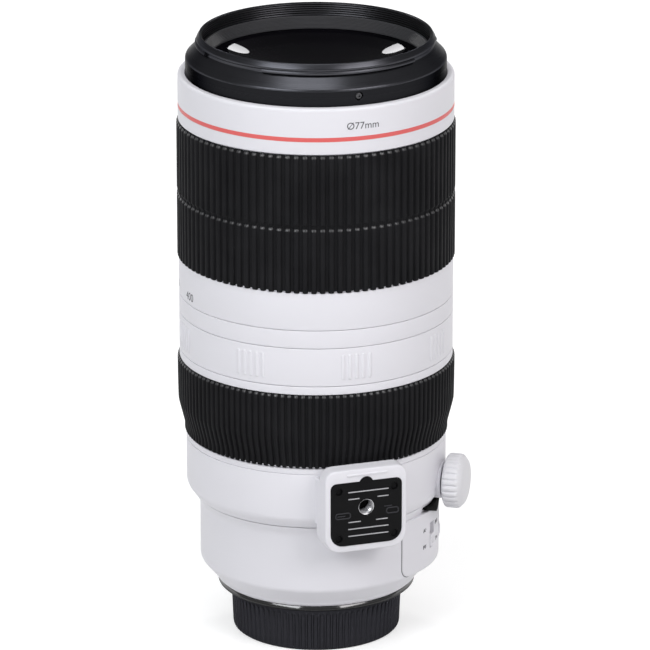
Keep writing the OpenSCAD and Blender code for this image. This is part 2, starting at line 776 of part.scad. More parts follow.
module tension_ring() {
  z0 = z_lip1 + hg;
  z1 = z_tens1 - hg;
  color(white) {
    tube(ring_ri, ring_r, z0, z1);
    for (a = [-2:45:313], k = [-2:2]) at_az(a + rib_pitch * k)
      translate([ring_r - 0.7, -0.6, z0 + 2]) cube([1, 1.2, z1 - z0 - 4]);
  }
}

module tripod_collar() {
  z0 = z_collar0 + hg;
  z1 = z_collar1 - hg;
  mid = (pad_z0 + pad_z1) / 2;
  color(white) difference() {
    union() {
      lathe([[collar_ri - 1, z0], [collar_r - 2.4, z0], [collar_r, z0 + 3.4], [collar_r, z1],
        [collar_ri - 1, z1]]);
      intersection() {
        translate([0, 0, pad_z0]) linear_extrude(pad_z1 - pad_z0)
          polygon([[-pad_w / 2 - 4, -collar_ri + 9], [-pad_w / 2 - 4, -collar_r + 1],
            [-pad_w / 2, -pad_r + 2], [-pad_w / 2 + 1, -pad_r], [pad_w / 2 - 1, -pad_r],
            [pad_w / 2, -pad_r + 2], [pad_w / 2 + 4, -collar_r + 1], [pad_w / 2 + 4, -collar_ri + 9]]);
        translate([0, 0, mid]) on_pad(20, pad_r + 1) rounded(pad_w + 8, pad_z1 - pad_z0, 4.5);
      }
      at_az(knob_az) translate([0, 0, knob_z]) radial(collar_ri, knob_r0 - run, 6.4);
    }
    translate([0, 0, z0 - 20]) cylinder(h = z1 - z0 + 40, r = collar_ri);
    translate([0, 0, z1]) cylinder(h = 20, r = pad_in);
    translate([0, 0, z0 - 20]) cylinder(h = 20, r = rear_r + 1.75 + 4 * run);
    translate([0, 0, plate_z]) on_pad(pad_r - plate_t + 0.3, pad_r + 1)
      plate_outline(fit);
    translate([0, 0, hole_z]) on_pad(bush_r0, pad_r) circle(bush_r + fit);
    for (sx = [-1, 1], sz = [-1, 1]) translate([screw_x * sx, 0, plate_z + screw_z * sz])
      on_pad(pad_r - 5, pad_r) circle(0.8);
    at_az(knob_az) translate([0, 0, knob_z]) radial(collar_ri - 3, knob_r0 + 2, screw_r + 0.1);
  }
}

module foot_plate() {
  color(black) difference() {
    translate([0, 0, plate_z]) on_pad(pad_r - plate_t + 0.3, pad_r + 0.3)
      plate_outline(0);
    translate([0, 0, hole_z]) on_pad(pad_r - 10, pad_r + 1) circle(bush_r + fit);
    for (sx = [-1, 1], sz = [-1, 1]) translate([screw_x * sx, 0, plate_z + screw_z * sz]) {
      on_pad(pad_r - 10, pad_r + 1) circle(0.8);
      on_pad(pad_r - 0.7, pad_r + 1) circle(1.4);
    }
    for (dz = [-8.6, -5.9, 7.4]) translate([-7, -pad_r - 1, plate_z + dz]) cube([14, 1, 0.5]);
  }
}

module foot_plate_screws() {
  color(steel) for (sx = [-1, 1], sz = [-1, 1]) translate([screw_x * sx, 0, plate_z + screw_z * sz]) {
    on_pad(pad_r - 5, pad_r - 0.6) circle(0.75);
    on_pad(pad_r - 0.7, pad_r + 0.1) circle(1.35);
  }
}

module tripod_bush() {
  color(metal) difference() {
    translate([0, 0, hole_z]) on_pad(bush_r0, pad_r + 0.25) circle(bush_r);
    translate([0, 0, hole_z]) on_pad(pad_r + 0.25 - tripod_d, pad_r + 1) circle(tripod_r);
  }
}

module lock_knob() {
  color(white) at_az(knob_az) translate([knob_r0, 0, knob_z]) rotate([0, 90, 0]) {
    linear_extrude(knob_l - 1.2) difference() {
      union() {
        circle(knob_r - 0.5);
        for (i = [1:knob_ribs]) rotate(360 * i / knob_ribs) translate([knob_r - 0.5, 0]) circle(0.5);
      }
      circle(screw_r + fit);
    }
    translate([0, 0, knob_l - 1.2]) cylinder(h = 1.2, r1 = knob_r - 0.5, r2 = knob_r - 1.7);
  }
}

module lock_screw() {
  color(steel) at_az(knob_az) translate([0, 0, knob_z])
    radial(collar_ri + 0.1, knob_r0 + knob_l - 1.2, screw_r);
}

module rear_cap() {
  color(black) {
    lathe([[0, 0], [cap_ro - 1, 0], [cap_ro - 0.3, 0.7], [cap_ro + 0.5, cap_h - 3.2],
      [cap_ro + 1.6, cap_h - 2.8], [cap_ro + 1.6, cap_h - 0.9], [cap_ro + 1.1, cap_h - 0.4],
      [cap_ri, cap_h - 0.4], [cap_ri, 1.6], [0, 1.6]]);
    for (k = [0:2]) sector(spigot_r + run, cap_ri + 0.6, lug_z1 + run, cap_h - 0.6,
      120 * k - lug_arc / 2, lug_arc);
  }
}

rear_barrel();
guide_barrel();
outer_sleeve();
index_ring();
mount_bayonet();
mount_screws();
mount_seal();
contact_block();
contact_pins();
rear_baffle();
circuit_board();
rear_cell();
rear_element();
switch_panel();
distance_window();
focus_motor_stator();
focus_guide_rods();
stabiliser_base();
iris_housing();
iris_blades();
zoom_ring();
zoom_grip();
cam_barrel();
zoom_keys();
extension_tube();
front_followers();
front_barrel();
accent_ring();
front_cell();
front_element();
second_element();
third_element();
filter_ring();
hood_ring_screws();
front_retainer();
variator_cell();
variator_followers();
variator_front_element();
variator_rear_element();
focus_ring();
focus_grip();
focus_motor_rotor();
distance_scale();
focus_cell();
focus_element();
stabiliser_carrier();
stabiliser_cell();
stabiliser_element();
tension_ring();
tripod_collar();
foot_plate();
foot_plate_screws();
tripod_bush();
lock_knob();
lock_screw();
switch_focus_mode();
switch_range();
switch_stabiliser();
switch_mode();
rear_cap();
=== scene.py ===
"""Telephoto zoom lens standing on its rear cap: smooth shells, ribbed rubber grips, foot plate and knob.

Mesh sizes are in millimetres and azimuths in degrees from the foot (-Y) towards +X.
"""
import json
from math import atan2, cos, degrees, pi, radians, sin, sqrt

import bmesh
import bpy
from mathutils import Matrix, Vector


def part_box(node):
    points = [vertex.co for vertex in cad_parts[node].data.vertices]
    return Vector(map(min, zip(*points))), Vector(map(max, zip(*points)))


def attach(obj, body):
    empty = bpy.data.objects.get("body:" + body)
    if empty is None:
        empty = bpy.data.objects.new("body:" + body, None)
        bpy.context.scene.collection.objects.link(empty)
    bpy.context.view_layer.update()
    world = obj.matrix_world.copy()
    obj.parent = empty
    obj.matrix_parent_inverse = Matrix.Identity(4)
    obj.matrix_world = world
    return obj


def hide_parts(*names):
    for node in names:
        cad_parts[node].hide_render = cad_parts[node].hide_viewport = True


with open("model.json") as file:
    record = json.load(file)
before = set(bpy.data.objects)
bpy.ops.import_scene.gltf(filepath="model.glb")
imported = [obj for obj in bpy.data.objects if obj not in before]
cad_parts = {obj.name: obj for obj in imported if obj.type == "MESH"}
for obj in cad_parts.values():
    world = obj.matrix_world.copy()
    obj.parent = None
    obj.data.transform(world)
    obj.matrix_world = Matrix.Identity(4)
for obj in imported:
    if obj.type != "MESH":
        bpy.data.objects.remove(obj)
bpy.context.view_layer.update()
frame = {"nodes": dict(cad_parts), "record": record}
MM = 0.001


def grey(tone):
    return tone, tone, tone


def scaled(colour, share, lift=0.0):
    return tuple(share * channel + lift for channel in colour)


def maths(operation, swapped=False):
    """A Tone method that adds one Math node; swapped puts the other value first."""
    def method(tone, other=0.0):
        first, second = (other, tone) if swapped else (tone, other)
        return tone.finish.node("ShaderNodeMath", {"operation": operation}, {0: first, 1: second})
    return method


class Tone:
    """A shader socket that Python operators turn into Math nodes."""

    def __init__(self, finish, socket):
        self.finish = finish
        self.socket = socket

    __add__ = __radd__ = maths("ADD")
    __mul__ = __rmul__ = maths("MULTIPLY")
    __sub__ = maths("SUBTRACT")
    __rsub__ = maths("SUBTRACT", True)
    __pow__ = maths("POWER")
    __gt__ = maths("GREATER_THAN")
    __abs__ = maths("ABSOLUTE")
    highest = maths("MAXIMUM")


class Finish:
    """The nodes of one finish, on a material or on the world."""

    def __init__(self, block):
        self.material = block
        block.use_nodes = True
        self.tree = block.node_tree
        self.tree.nodes.clear()

    def node(self, kind, settings, sockets, out=0):
        made = self.tree.nodes.new(kind)
        for key, value in settings.items():
            setattr(made, key, value)
        for key, value in sockets.items():
            if isinstance(value, Tone):
                self.tree.links.new(value.socket, made.inputs[key])
            elif isinstance(value, tuple) and made.inputs[key].type == "RGBA":
                made.inputs[key].default_value = (*value, 1)
            else:
                made.inputs[key].default_value = value
        return Tone(self, made.outputs[out]) if made.outputs else None

    def spot(self):
        return self.node("ShaderNodeTexCoord", {}, {}, "Object")

    def reach(self):
        """Distance from the lens axis, and height."""
        axes = self.node("ShaderNodeSeparateXYZ", {}, {0: self.spot()})
        x, y, z = (Tone(self, socket) for socket in axes.socket.node.outputs)
        return (x * x + y * y) ** 0.5, z

    def noise(self, scale, detail=2.0, vector=None):
        return self.node("ShaderNodeTexNoise", {}, {
            "Vector": vector or self.spot(), "Scale": scale, "Detail": detail})

    def mix(self, amount, first, second):
        return self.node("ShaderNodeMix", {"data_type": "RGBA"}, {0: amount, 6: first, 7: second}, 2)

    def turned_lines(self, scale):
        """Fine marks that run around the lens axis, as a lathe leaves them."""
        radius, z = self.reach()
        return self.noise(scale, 3.0, self.node("ShaderNodeCombineXYZ", {}, {0: radius, 2: z}))

    def bump(self, height, depth):
        return self.node("ShaderNodeBump", {}, {"Strength": 1.0, "Distance": depth, "Height": height})

    def surface(self, sockets):
        shader = self.node("ShaderNodeBsdfPrincipled", {}, sockets)
        self.node("ShaderNodeOutputMaterial", {}, {"Surface": shader})
        return self


def material(name):
    return Finish(bpy.data.materials.new(name))


def enamel(name, colour, roughness, peel_scale=2200, peel_depth=6e-6):
    """Baked paint: soft drift of tone, a fine orange peel and a slightly uneven gloss."""
    paint = material(name)
    drift = paint.noise(14)
    peel = paint.noise(peel_scale, 1.0)
    return paint.surface({
        "Base Color": paint.mix(drift, scaled(colour, 0.965), colour),
        "Roughness": roughness + 0.1 * (drift - 0.5) + 0.08 * (peel - 0.5),
        "Specular IOR Level": 0.4,
        "Normal": paint.bump(peel, peel_depth)})


def rubber(name, colour, dusty, roughness, level, gloss_places=(), painted_highlight_colour=grey(0.0), polish=0.28,
           polish_ior=1.5):
    """Moulded rubber: a pebbled skin with a dusty bloom, glossy at the given places, where the base
    colour is also lightened as a painted highlight.

    Each place is its height, its half height and its least radius, in millimetres.
    """
    skin = material(name)
    pebble = skin.noise(3200, 2.0)
    bloom = skin.noise(60, 4.0)
    shade = skin.mix(bloom * bloom, colour, dusty)
    gloss_and_painted_highlight = 0.0
    if gloss_places:
        radius, z = skin.reach()
        for middle, half, inner in gloss_places:
            near = (1 - abs(z - MM * middle) * (1 / (MM * half))).highest(0.0)
            gloss_and_painted_highlight = near * (radius > MM * inner) + gloss_and_painted_highlight
        # Painted highlight: at these places the base colour is lightened towards the highlight colour,
        # beside the real coat gloss.
        shade = skin.mix(gloss_and_painted_highlight * (0.45 + 0.55 * pebble), shade, painted_highlight_colour)
    return skin.surface({
        "Base Color": shade,
        "Roughness": roughness + 0.18 * (pebble - 0.5) + 0.1 * (bloom - 0.5),
        "Specular IOR Level": level,
        "Coat Weight": gloss_and_painted_highlight,
        "Coat Roughness": polish,
        "Coat IOR": polish_ior,
        "Normal": skin.bump(pebble, 1.4e-5)})


def black_satin(name, colour, roughness, level, lines=1600, depth=4e-6):
    """Satin black plastic or paint with fine marks around the axis."""
    coat = material(name)
    marks = coat.turned_lines(lines)
    cloud = coat.noise(90, 3.0)
    return coat.surface({
        "Base Color": coat.mix(cloud * marks, colour, scaled(colour, 1.6, 0.002)),
        "Roughness": roughness + 0.16 * (marks - 0.5),
        "Specular IOR Level": level,
        "Normal": coat.bump(marks, depth)})


def bare_metal(name, colour, roughness, lines=2400, depth=3e-6, edge=grey(1.0), low=None):
    """Machined metal, plain or blackened, with turning marks and a faint stain.

    The optional pair is a height in millimetres and the share of the tone that is left below it; that
    darker part is painted shade.
    """
    metal = material(name)
    marks = metal.turned_lines(lines)
    stain = metal.noise(160, 3.0)
    shade = metal.mix(stain, scaled(colour, 0.8), colour)
    # Painted shade: below the given height the tone is darkened.
    if low:
        height, share = low
        shade = metal.mix(metal.reach()[1] > MM * height, scaled(colour, share), shade)
    return metal.surface({
        "Base Color": shade,
        "Metallic": 1.0,
        "Roughness": roughness + 0.2 * (marks - 0.5),
        "Specular Tint": edge,
        "Normal": metal.bump(marks, depth)})


def coated_glass(name, colour, other, body, level, tint):
    """Glass with a thin coat: as solid as its body says, in a colour that drifts, with a tinted gloss."""
    glass = material(name)
    drift = glass.noise(22, 1.0)
    smear = glass.noise(70, 4.0)
    return glass.surface({
        "Base Color": glass.mix(drift, colour, other),
        "Roughness": 0.012 + 0.02 * smear * smear,
        "Alpha": body + 0.04 * (drift - 0.5),
        "Specular IOR Level": level,
        "Specular Tint": tint})


def printed_ink(name, colour):
    ink = material(name)
    wear = ink.noise(900, 3.0)
    return ink.surface({
        "Base Color": ink.mix(wear, colour, scaled(colour, 1.25, 0.02)),
        "Roughness": 0.45 + 0.2 * wear,
        "Specular IOR Level": 0.3})


def polar(radius, az, z):
    turn = radians(az)
    return radius * sin(turn), -radius * cos(turn), z


def fillet(corners, steps=4):
    """Closed outline through (u, v) or (u, v, setback) corners, rounded where a setback is given."""
    outline = []
    for i, corner in enumerate(corners):
        here = Vector(corner[:2])
        if not any(corner[2:]):
            outline.append(tuple(here))
            continue
        back = Vector(corners[i - 1][:2]) - here
        ahead = Vector(corners[(i + 1) % len(corners)][:2]) - here
        setback = min(corner[2], 0.49 * back.length, 0.49 * ahead.length)
        first = here + back.normalized() * setback
        last = here + ahead.normalized() * setback
        for k in range(steps + 1):
            t = k / steps
            outline.append(tuple((1 - t) ** 2 * first + 2 * t * (1 - t) * here + t * t * last))
    return outline


def hoop(inner, outer, low, high, soft_low=0, soft_high=0):
    """Outline of a plain ring, rounded at its outer corners where a setback is given."""
    return fillet([(inner, low), (outer, low, soft_low), (outer, high, soft_high), (inner, high)])


def woven(rows, around=True):
    """Verts and faces over rows of points; each row is a closed loop, and so is the set if around."""
    wide = len(rows[0])
    tall = len(rows)
    verts = [point for row in rows for point in row]
    faces = []
    for i in range(tall if around else tall - 1):
        for j in range(wide):
            k = (j + 1) % wide
            n = (i + 1) % tall
            faces.append((i * wide + j, i * wide + k, n * wide + k, n * wide + j))
    if not around:
        faces.append(tuple(range(wide)))
        faces.append(tuple(range((tall - 1) * wide, tall * wide)))
    return verts, faces


def lathe(outline, segments=288):
    return woven([[polar(r, 360 * i / segments, z) for i in range(segments)] for r, z in outline])


def sector(outline, az0, az1, segments):
    """A closed outline swept part of the way round, with flat ends."""
    steps = [az0 + (az1 - az0) * i / segments for i in range(segments + 1)]
    return woven([[polar(r, az, z) for r, z in outline] for az in steps], False)


def joined(*parts):
    verts = []
    faces = []
    for more, flat in parts:
        start = len(verts)
        verts += more
        faces += [tuple(start + i for i in face) for face in flat]
    return verts, faces


def moved(part, place):
    verts, faces = part
    return [place(*vert) for vert in verts], faces


def shifted(part, side, up, out=0.0):
    return moved(part, lambda x, y, t: (x + side, y + up, t + out))


def level(part):
    """A part that was drawn upright, laid on its side."""
    return moved(part, lambda x, y, t: (y, -x, t))


def facing(az, z):
    """Place for a part whose own axes run sideways, up and out of the barrel at an azimuth."""
    turn = radians(az)

    def place(side, up, out):
        return (side * cos(turn) + out * sin(turn),
                side * sin(turn) - out * cos(turn), z + up)
    return place


def wrapped(az, z, radius):
    """Place that bends sideways sizes around the barrel at a radius."""
    def place(side, up, out):
        return polar(out, az + degrees(side / radius), z + up)
    return place


def rounded_outline(width, height, corners, along=1, up=1, bend=6):
    """Rounded rectangle about the origin; corners are top right, top left, low left and low right."""
    centres = ((1, 1), (-1, 1), (-1, -1), (1, -1))

    def rim(i, quarters):
        sx, sy = centres[i]
        r = max(corners[i], 1e-4)
        turn = radians(90 * quarters)
        return sx * (width / 2 - r) + r * cos(turn), sy * (height / 2 - r) + r * sin(turn)

    points = []
    for i, steps in enumerate((along, up, along, up)):
        points += [rim(i, i + k / bend) for k in range(bend + 1)]
        goal = rim((i + 1) % 4, i + 1)
        for k in range(1, steps):
            t = k / steps
            points.append(tuple(a + (b - a) * t for a, b in zip(points[-k], goal)))
    return points


def layered(width, height, corners, layers, along=1, up=1, bend=6):
    """Rows of rounded rectangles; each layer is its height out of the surface and its inset."""
    rows = []
    for out, inset in layers:
        tight = [max(r - inset, 0.05) for r in corners]
        outline = rounded_outline(width - 2 * inset, height - 2 * inset, tight, along, up, bend)
        rows.append([(x, y, out) for x, y in outline])
    return rows


def slab(width, height, corners, layers, along=1, up=1, bend=6):
    return woven(layered(width, height, corners, layers, along, up, bend), False)


def ridge(width, length, rise, sunk=0.3):
    """A low rounded bar, standing out of what it is sunk into."""
    r = min(width, length) / 2
    layers = [(-sunk, 0), (0.35 * rise, 0), (0.8 * rise, 0.22 * r), (rise, 0.6 * r)]
    return slab(width, length, [0.98 * r] * 4, layers, bend=4)


def turned(outline, segments=32):
    """Outline of radius and reach turned about a part's own outward axis."""
    steps = [2 * pi * i / segments for i in range(segments)]
    return woven([[(r * cos(a), r * sin(a), out) for a in steps] for r, out in outline])


RIB = ((0.0, 1.0), (0.13, 1.0), (0.19, 0.75), (0.24, 0.3), (0.29, 0.07), (0.36, 0.0), (0.5, 0.0),
       (0.64, 0.0), (0.71, 0.07), (0.76, 0.3), (0.81, 0.75), (0.87, 1.0))


def ribbed_rows(stations, count, rib=RIB):
    """Loops of (azimuth, radius, reach) points; each station is a radius, a reach and a groove depth."""
    turns = [(360 * (i + phase) / count, cut) for i in range(count) for phase, cut in rib]
    return [[(az, r - depth * cut, out) for az, cut in turns] for r, out, depth in stations]


def ribbed(stations, count, rib=RIB):
    """Ring with grooves all round the lens axis."""
    return woven([[polar(r, az, z) for az, r, z in row] for row in ribbed_rows(stations, count, rib)])


def smooth_edges(mesh, crease):
    """Weld, face outwards, and keep the edges sharper than the crease as edges."""
    work = bmesh.new()
    work.from_mesh(mesh)
    bmesh.ops.remove_doubles(work, verts=work.verts, dist=2e-7)
    bmesh.ops.dissolve_degenerate(work, dist=1e-8, edges=work.edges)
    bmesh.ops.recalc_face_normals(work, faces=work.faces)
    limit = radians(crease)
    for face in work.faces:
        face.smooth = True
    for edge in work.edges:
        edge.smooth = len(edge.link_faces) == 2 and edge.calc_face_angle() < limit
    work.to_mesh(mesh)
    work.free()


def placed(name, data):
    made = bpy.data.objects.new(name, data)
    bpy.context.collection.objects.link(made)
    return made


def baked(holder):
    """Mesh of an object with its modifiers or its text worked out."""
    ready = holder.evaluated_get(bpy.context.evaluated_depsgraph_get())
    return bpy.data.meshes.new_from_object(ready)


def mesh_object(name, part, crease=32):
    verts, faces = part
    mesh = bpy.data.meshes.new(name)
    mesh.from_pydata([[MM * c for c in vert] for vert in verts], [], faces)
    smooth_edges(mesh, crease)
    return placed(name, mesh)


def hollowed(piece, cutters, crease):
    """Cut the given solids out of a piece and keep the result as its mesh."""
    for part in cutters:
        tool = mesh_object("cutter", part)
        change = piece.modifiers.new("cut", "BOOLEAN")
        change.object = tool
        change.operation = "DIFFERENCE"
        change.solver = "EXACT"
        spent = piece.data, tool.data
        piece.data = baked(piece)
        piece.modifiers.clear()
        bpy.data.objects.remove(tool)
        for mesh in spent:
            bpy.data.meshes.remove(mesh)
    smooth_edges(piece.data, crease)


def build(name, part, body, finish, stands_for=(), cutters=(), crease=32):
    """Make a piece that moves with a body and may stand for CAD nodes."""
    piece = mesh_object(name, part, crease)
    if cutters:
        hollowed(piece, cutters, crease)
    piece.data.materials.clear()
    piece.data.materials.append(finish.material)
    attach(piece, body)
    if stands_for:
        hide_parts(*stands_for)
    return piece


def lettering(words, size, az, z, radius, thick=0.03):
    """Printed figures wrapped on the barrel, reading upright with the front up."""
    curve = bpy.data.curves.new("figures", "FONT")
    curve.body = words
    curve.size = size
    curve.align_x = "CENTER"
    curve.align_y = "CENTER"
    curve.extrude = thick
    holder = placed("figures", curve)
    mesh = baked(holder)
    part = ([tuple(v.co) for v in mesh.vertices], [tuple(p.vertices) for p in mesh.polygons])
    bpy.data.objects.remove(holder)
    bpy.data.curves.remove(curve)
    bpy.data.meshes.remove(mesh)
    return moved(shifted(part, 0, 0, radius), wrapped(az, z, radius))


def stroke(width, height, az, z, radius):
    """A printed line on the barrel."""
    line = slab(width, height, [0.05] * 4, [(radius - 0.02, 0), (radius + 0.03, 0)])
    return moved(line, wrapped(az, z, radius))


def round_node(node):
    """Outer radius, lower and upper height of a round node, in millimetres."""
    lo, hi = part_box(node)
    return hi.y / MM, lo.z / MM, hi.z / MM


def corners(node):
    return (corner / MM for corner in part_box(node))


def centre(node):
    lo, hi = corners(node)
    return (lo + hi) / 2


MOUNTS = {mount["name"]: mount for mount in frame["record"]["mounts"]}
FILTER_R = MOUNTS["filter_thread"]["dims"]["r_mm"]
TRIPOD_R = MOUNTS["tripod_socket"]["dims"]["r_mm"]
TRIPOD_Z = MOUNTS["tripod_socket"]["pos_m"][2] / MM
TUBE_R, TUBE_Z0, TUBE_Z1 = round_node("extension_tube")
FRONT_R, FRONT_Z0, FRONT_Z1 = round_node("front_barrel")
STRIPE_R, STRIPE_Z0, STRIPE_Z1 = round_node("accent_ring")
HOOD_R, HOOD_Z0, RIM_Z = round_node("filter_ring")
RETAIN_R, RETAIN_Z0, RETAIN_Z1 = round_node("front_retainer")
GLASS_R, GLASS_Z0, GLASS_Z1 = round_node("front_element")
GRIP_R, GRIP_Z0, GRIP_Z1 = round_node("zoom_grip")
RING_R, INDEX_Z0, INDEX_Z1 = round_node("index_ring")
ZOOM_Z0, ZOOM_Z1 = round_node("zoom_ring")[1:]
TENSION_Z0, TENSION_Z1 = round_node("tension_ring")[1:]
FOCUS_R, FOCUS_Z0, FOCUS_Z1 = round_node("focus_grip")
LIP_Z1 = round_node("focus_ring")[2]
SLEEVE_R, SLEEVE_Z0, SLEEVE_Z1 = round_node("outer_sleeve")
REAR_Z0, REAR_Z1 = round_node("rear_barrel")[1:]
SEAL_R, SEAL_Z0, SEAL_Z1 = round_node("mount_seal")
CAP_R, _, CAP_Z1 = round_node("rear_cap")
PLATE_LO, PLATE_HI = corners("foot_plate")
COLLAR_LO, COLLAR_HI = corners("tripod_collar")

WALL = 2.0
TUBE_WALL = 1.4
HOOD_TOP = FRONT_Z1 + 5.5
RIM_R = FILTER_R + 1.9
GROOVE_R = RIM_R - 0.6
THREAD_PITCH = 0.75
TRIPOD_PITCH = 1.27
SCALE_AZ = 185
ZOOM_TURN = 90
WINDOW_AZ = 180
THIRDS = (0, 120, 240)
ZOOM_RIBS = 100
FOCUS_RIBS = 126
KNOB_FLUTES = 27
CAP_RIBS = 84
FIGURE_AZ = 176
FIGURE_STEP = 8.4
GRIP_SPLIT = GRIP_Z0 + 22.4
PAD_FACE = -COLLAR_LO.y
PAD_Z0 = COLLAR_LO.z
PAD_Z1 = COLLAR_HI.z
PLATE_FACE = -PLATE_LO.y
PLATE_W = PLATE_HI.x - PLATE_LO.x
PLATE_BUMP = 2.5
PLATE_BUMP_IN = 0.9
PLATE_Z0 = PLATE_LO.z
PLATE_Z1 = PLATE_HI.z - PLATE_BUMP + PLATE_BUMP_IN
PLATE_MID = (PLATE_Z0 + PLATE_Z1) / 2
PLATE_TALL = PLATE_Z1 - PLATE_Z0
PAD_W = PLATE_W + 3.8
COLLAR_R = SLEEVE_R + 0.1
COLLAR_Z0 = REAR_Z1 - 19.8
COLLAR_Z1 = REAR_Z1 - 0.2
COLLAR_BORE = COLLAR_R - 3.1
BARREL_R = COLLAR_R - 4.55

# Rib ends of the grips: coat gloss, and a lighter base colour there as a painted highlight.
RIB_END_GLOSS_AND_HIGHLIGHT = ((GRIP_Z1 - 0.5, 0.6, GRIP_R - 0.64), (GRIP_SPLIT - 0.5, 0.6, GRIP_R - 0.64),
             (FOCUS_Z1 - 0.75, 0.6, FOCUS_R - 0.64))

WHITE = enamel("white_enamel", (0.78, 0.772, 0.815), 0.42)
KNOB_WHITE = enamel("knob_enamel", (0.75, 0.745, 0.775), 0.42, 1500, 1e-5)
RED = enamel("accent_enamel", (0.74, 0.125, 0.12), 0.4)
# The last colour of the grip is the painted highlight on its rib ends.
GRIP = rubber("grip_rubber", (0.0105, 0.0105, 0.0116), (0.025, 0.025, 0.027), 0.5, 0.03,
              RIB_END_GLOSS_AND_HIGHLIGHT, (0.06, 0.06, 0.063))
SEAL = rubber("seal_rubber", (0.004, 0.004, 0.0044), (0.007, 0.007, 0.0076), 0.4, 0.03,
              ((SEAL_Z1 - 0.55, 1.05, SEAL_R - 1.2),), (0.004, 0.004, 0.0044), 0.1, 2.0)
# Painted shade: below HOOD_TOP, on the hood's band and on the window bezel, only a quarter of the tone is
# left.
HOOD_BLACK = bare_metal("hood_black", (0.062, 0.063, 0.071), 0.3, 2400, 3e-5, grey(0.38),
                        (HOOD_TOP - 0.5, 0.25))
THREAD_BLACK = bare_metal("thread_black", (0.042, 0.042, 0.046), 0.3, 2400, 1e-5, grey(0.5))
RETAINER_BLACK = black_satin("retainer_black", (0.04, 0.04, 0.043), 0.4, 0.2, 2600, 3e-5)
CAP_BLACK = bare_metal("cap_black", (0.029, 0.029, 0.034), 0.32, 900, 8e-6, grey(0.45))
PLATE_BLACK = black_satin("plate_black", (0.0058, 0.0058, 0.0062), 0.4, 0.06, 1200, 5e-6)
FLOCK = rubber("flocked_black", grey(0.003), grey(0.005), 0.8, 0.05)
CELL_BLACK = black_satin("cell_black", (0.004, 0.004, 0.0045), 0.55, 0.1)
STEEL = bare_metal("machined_steel", (0.62, 0.62, 0.64), 0.28)
DARK_STEEL = bare_metal("blackened_steel", (0.045, 0.045, 0.05), 0.42)
SCREW_STEEL = bare_metal("set_screw_steel", (0.09, 0.09, 0.095), 0.3)
CHROME = bare_metal("plated_brass", (0.78, 0.78, 0.8), 0.16)
ALUMINIUM = bare_metal("anodised_aluminium", (0.42, 0.42, 0.44), 0.38)
GOLD = bare_metal("gold_plate", (0.85, 0.62, 0.26), 0.2)
COAT = (0.002, 0.003, 0.003), (0.006, 0.003, 0.008)
COAT_GLOSS = (0.85, 0.8, 1.0)
GLASS = coated_glass("coated_glass", *COAT, 0.3, 0.1, COAT_GLOSS)
FRONT_GLASS = coated_glass("front_coated_glass", *COAT, 0.03, 0.1, COAT_GLOSS)
# Painted shade: the back face of the front glass is opaque and near black, standing for the dark inside
# of the lens; its gloss is real and catches the gleam lamps.
PAINTED_SHADE_BACK_GLASS = coated_glass("painted_shade_back_glass", (0.0015, 0.002, 0.002), (0.003, 0.002, 0.004), 1.0, 0.045,
                          (0.9, 0.85, 1.0))
WINDOW = coated_glass("window_plastic", (0.02, 0.022, 0.024), (0.03, 0.032, 0.034), 0.14, 0.4, grey(1.0))
BOARD = enamel("circuit_board_mask", (0.02, 0.13, 0.055), 0.35)
SCALE = enamel("scale_drum", (0.02, 0.02, 0.022), 0.5)
INK = printed_ink("grey_ink", (0.075, 0.075, 0.085))
PALE_INK = printed_ink("pale_ink", grey(0.7))


def white(name, part, body, stands_for=(), cutters=(), crease=32):
    """A piece in the white paint of the barrels."""
    return build(name, part, body, WHITE, stands_for, cutters, crease)


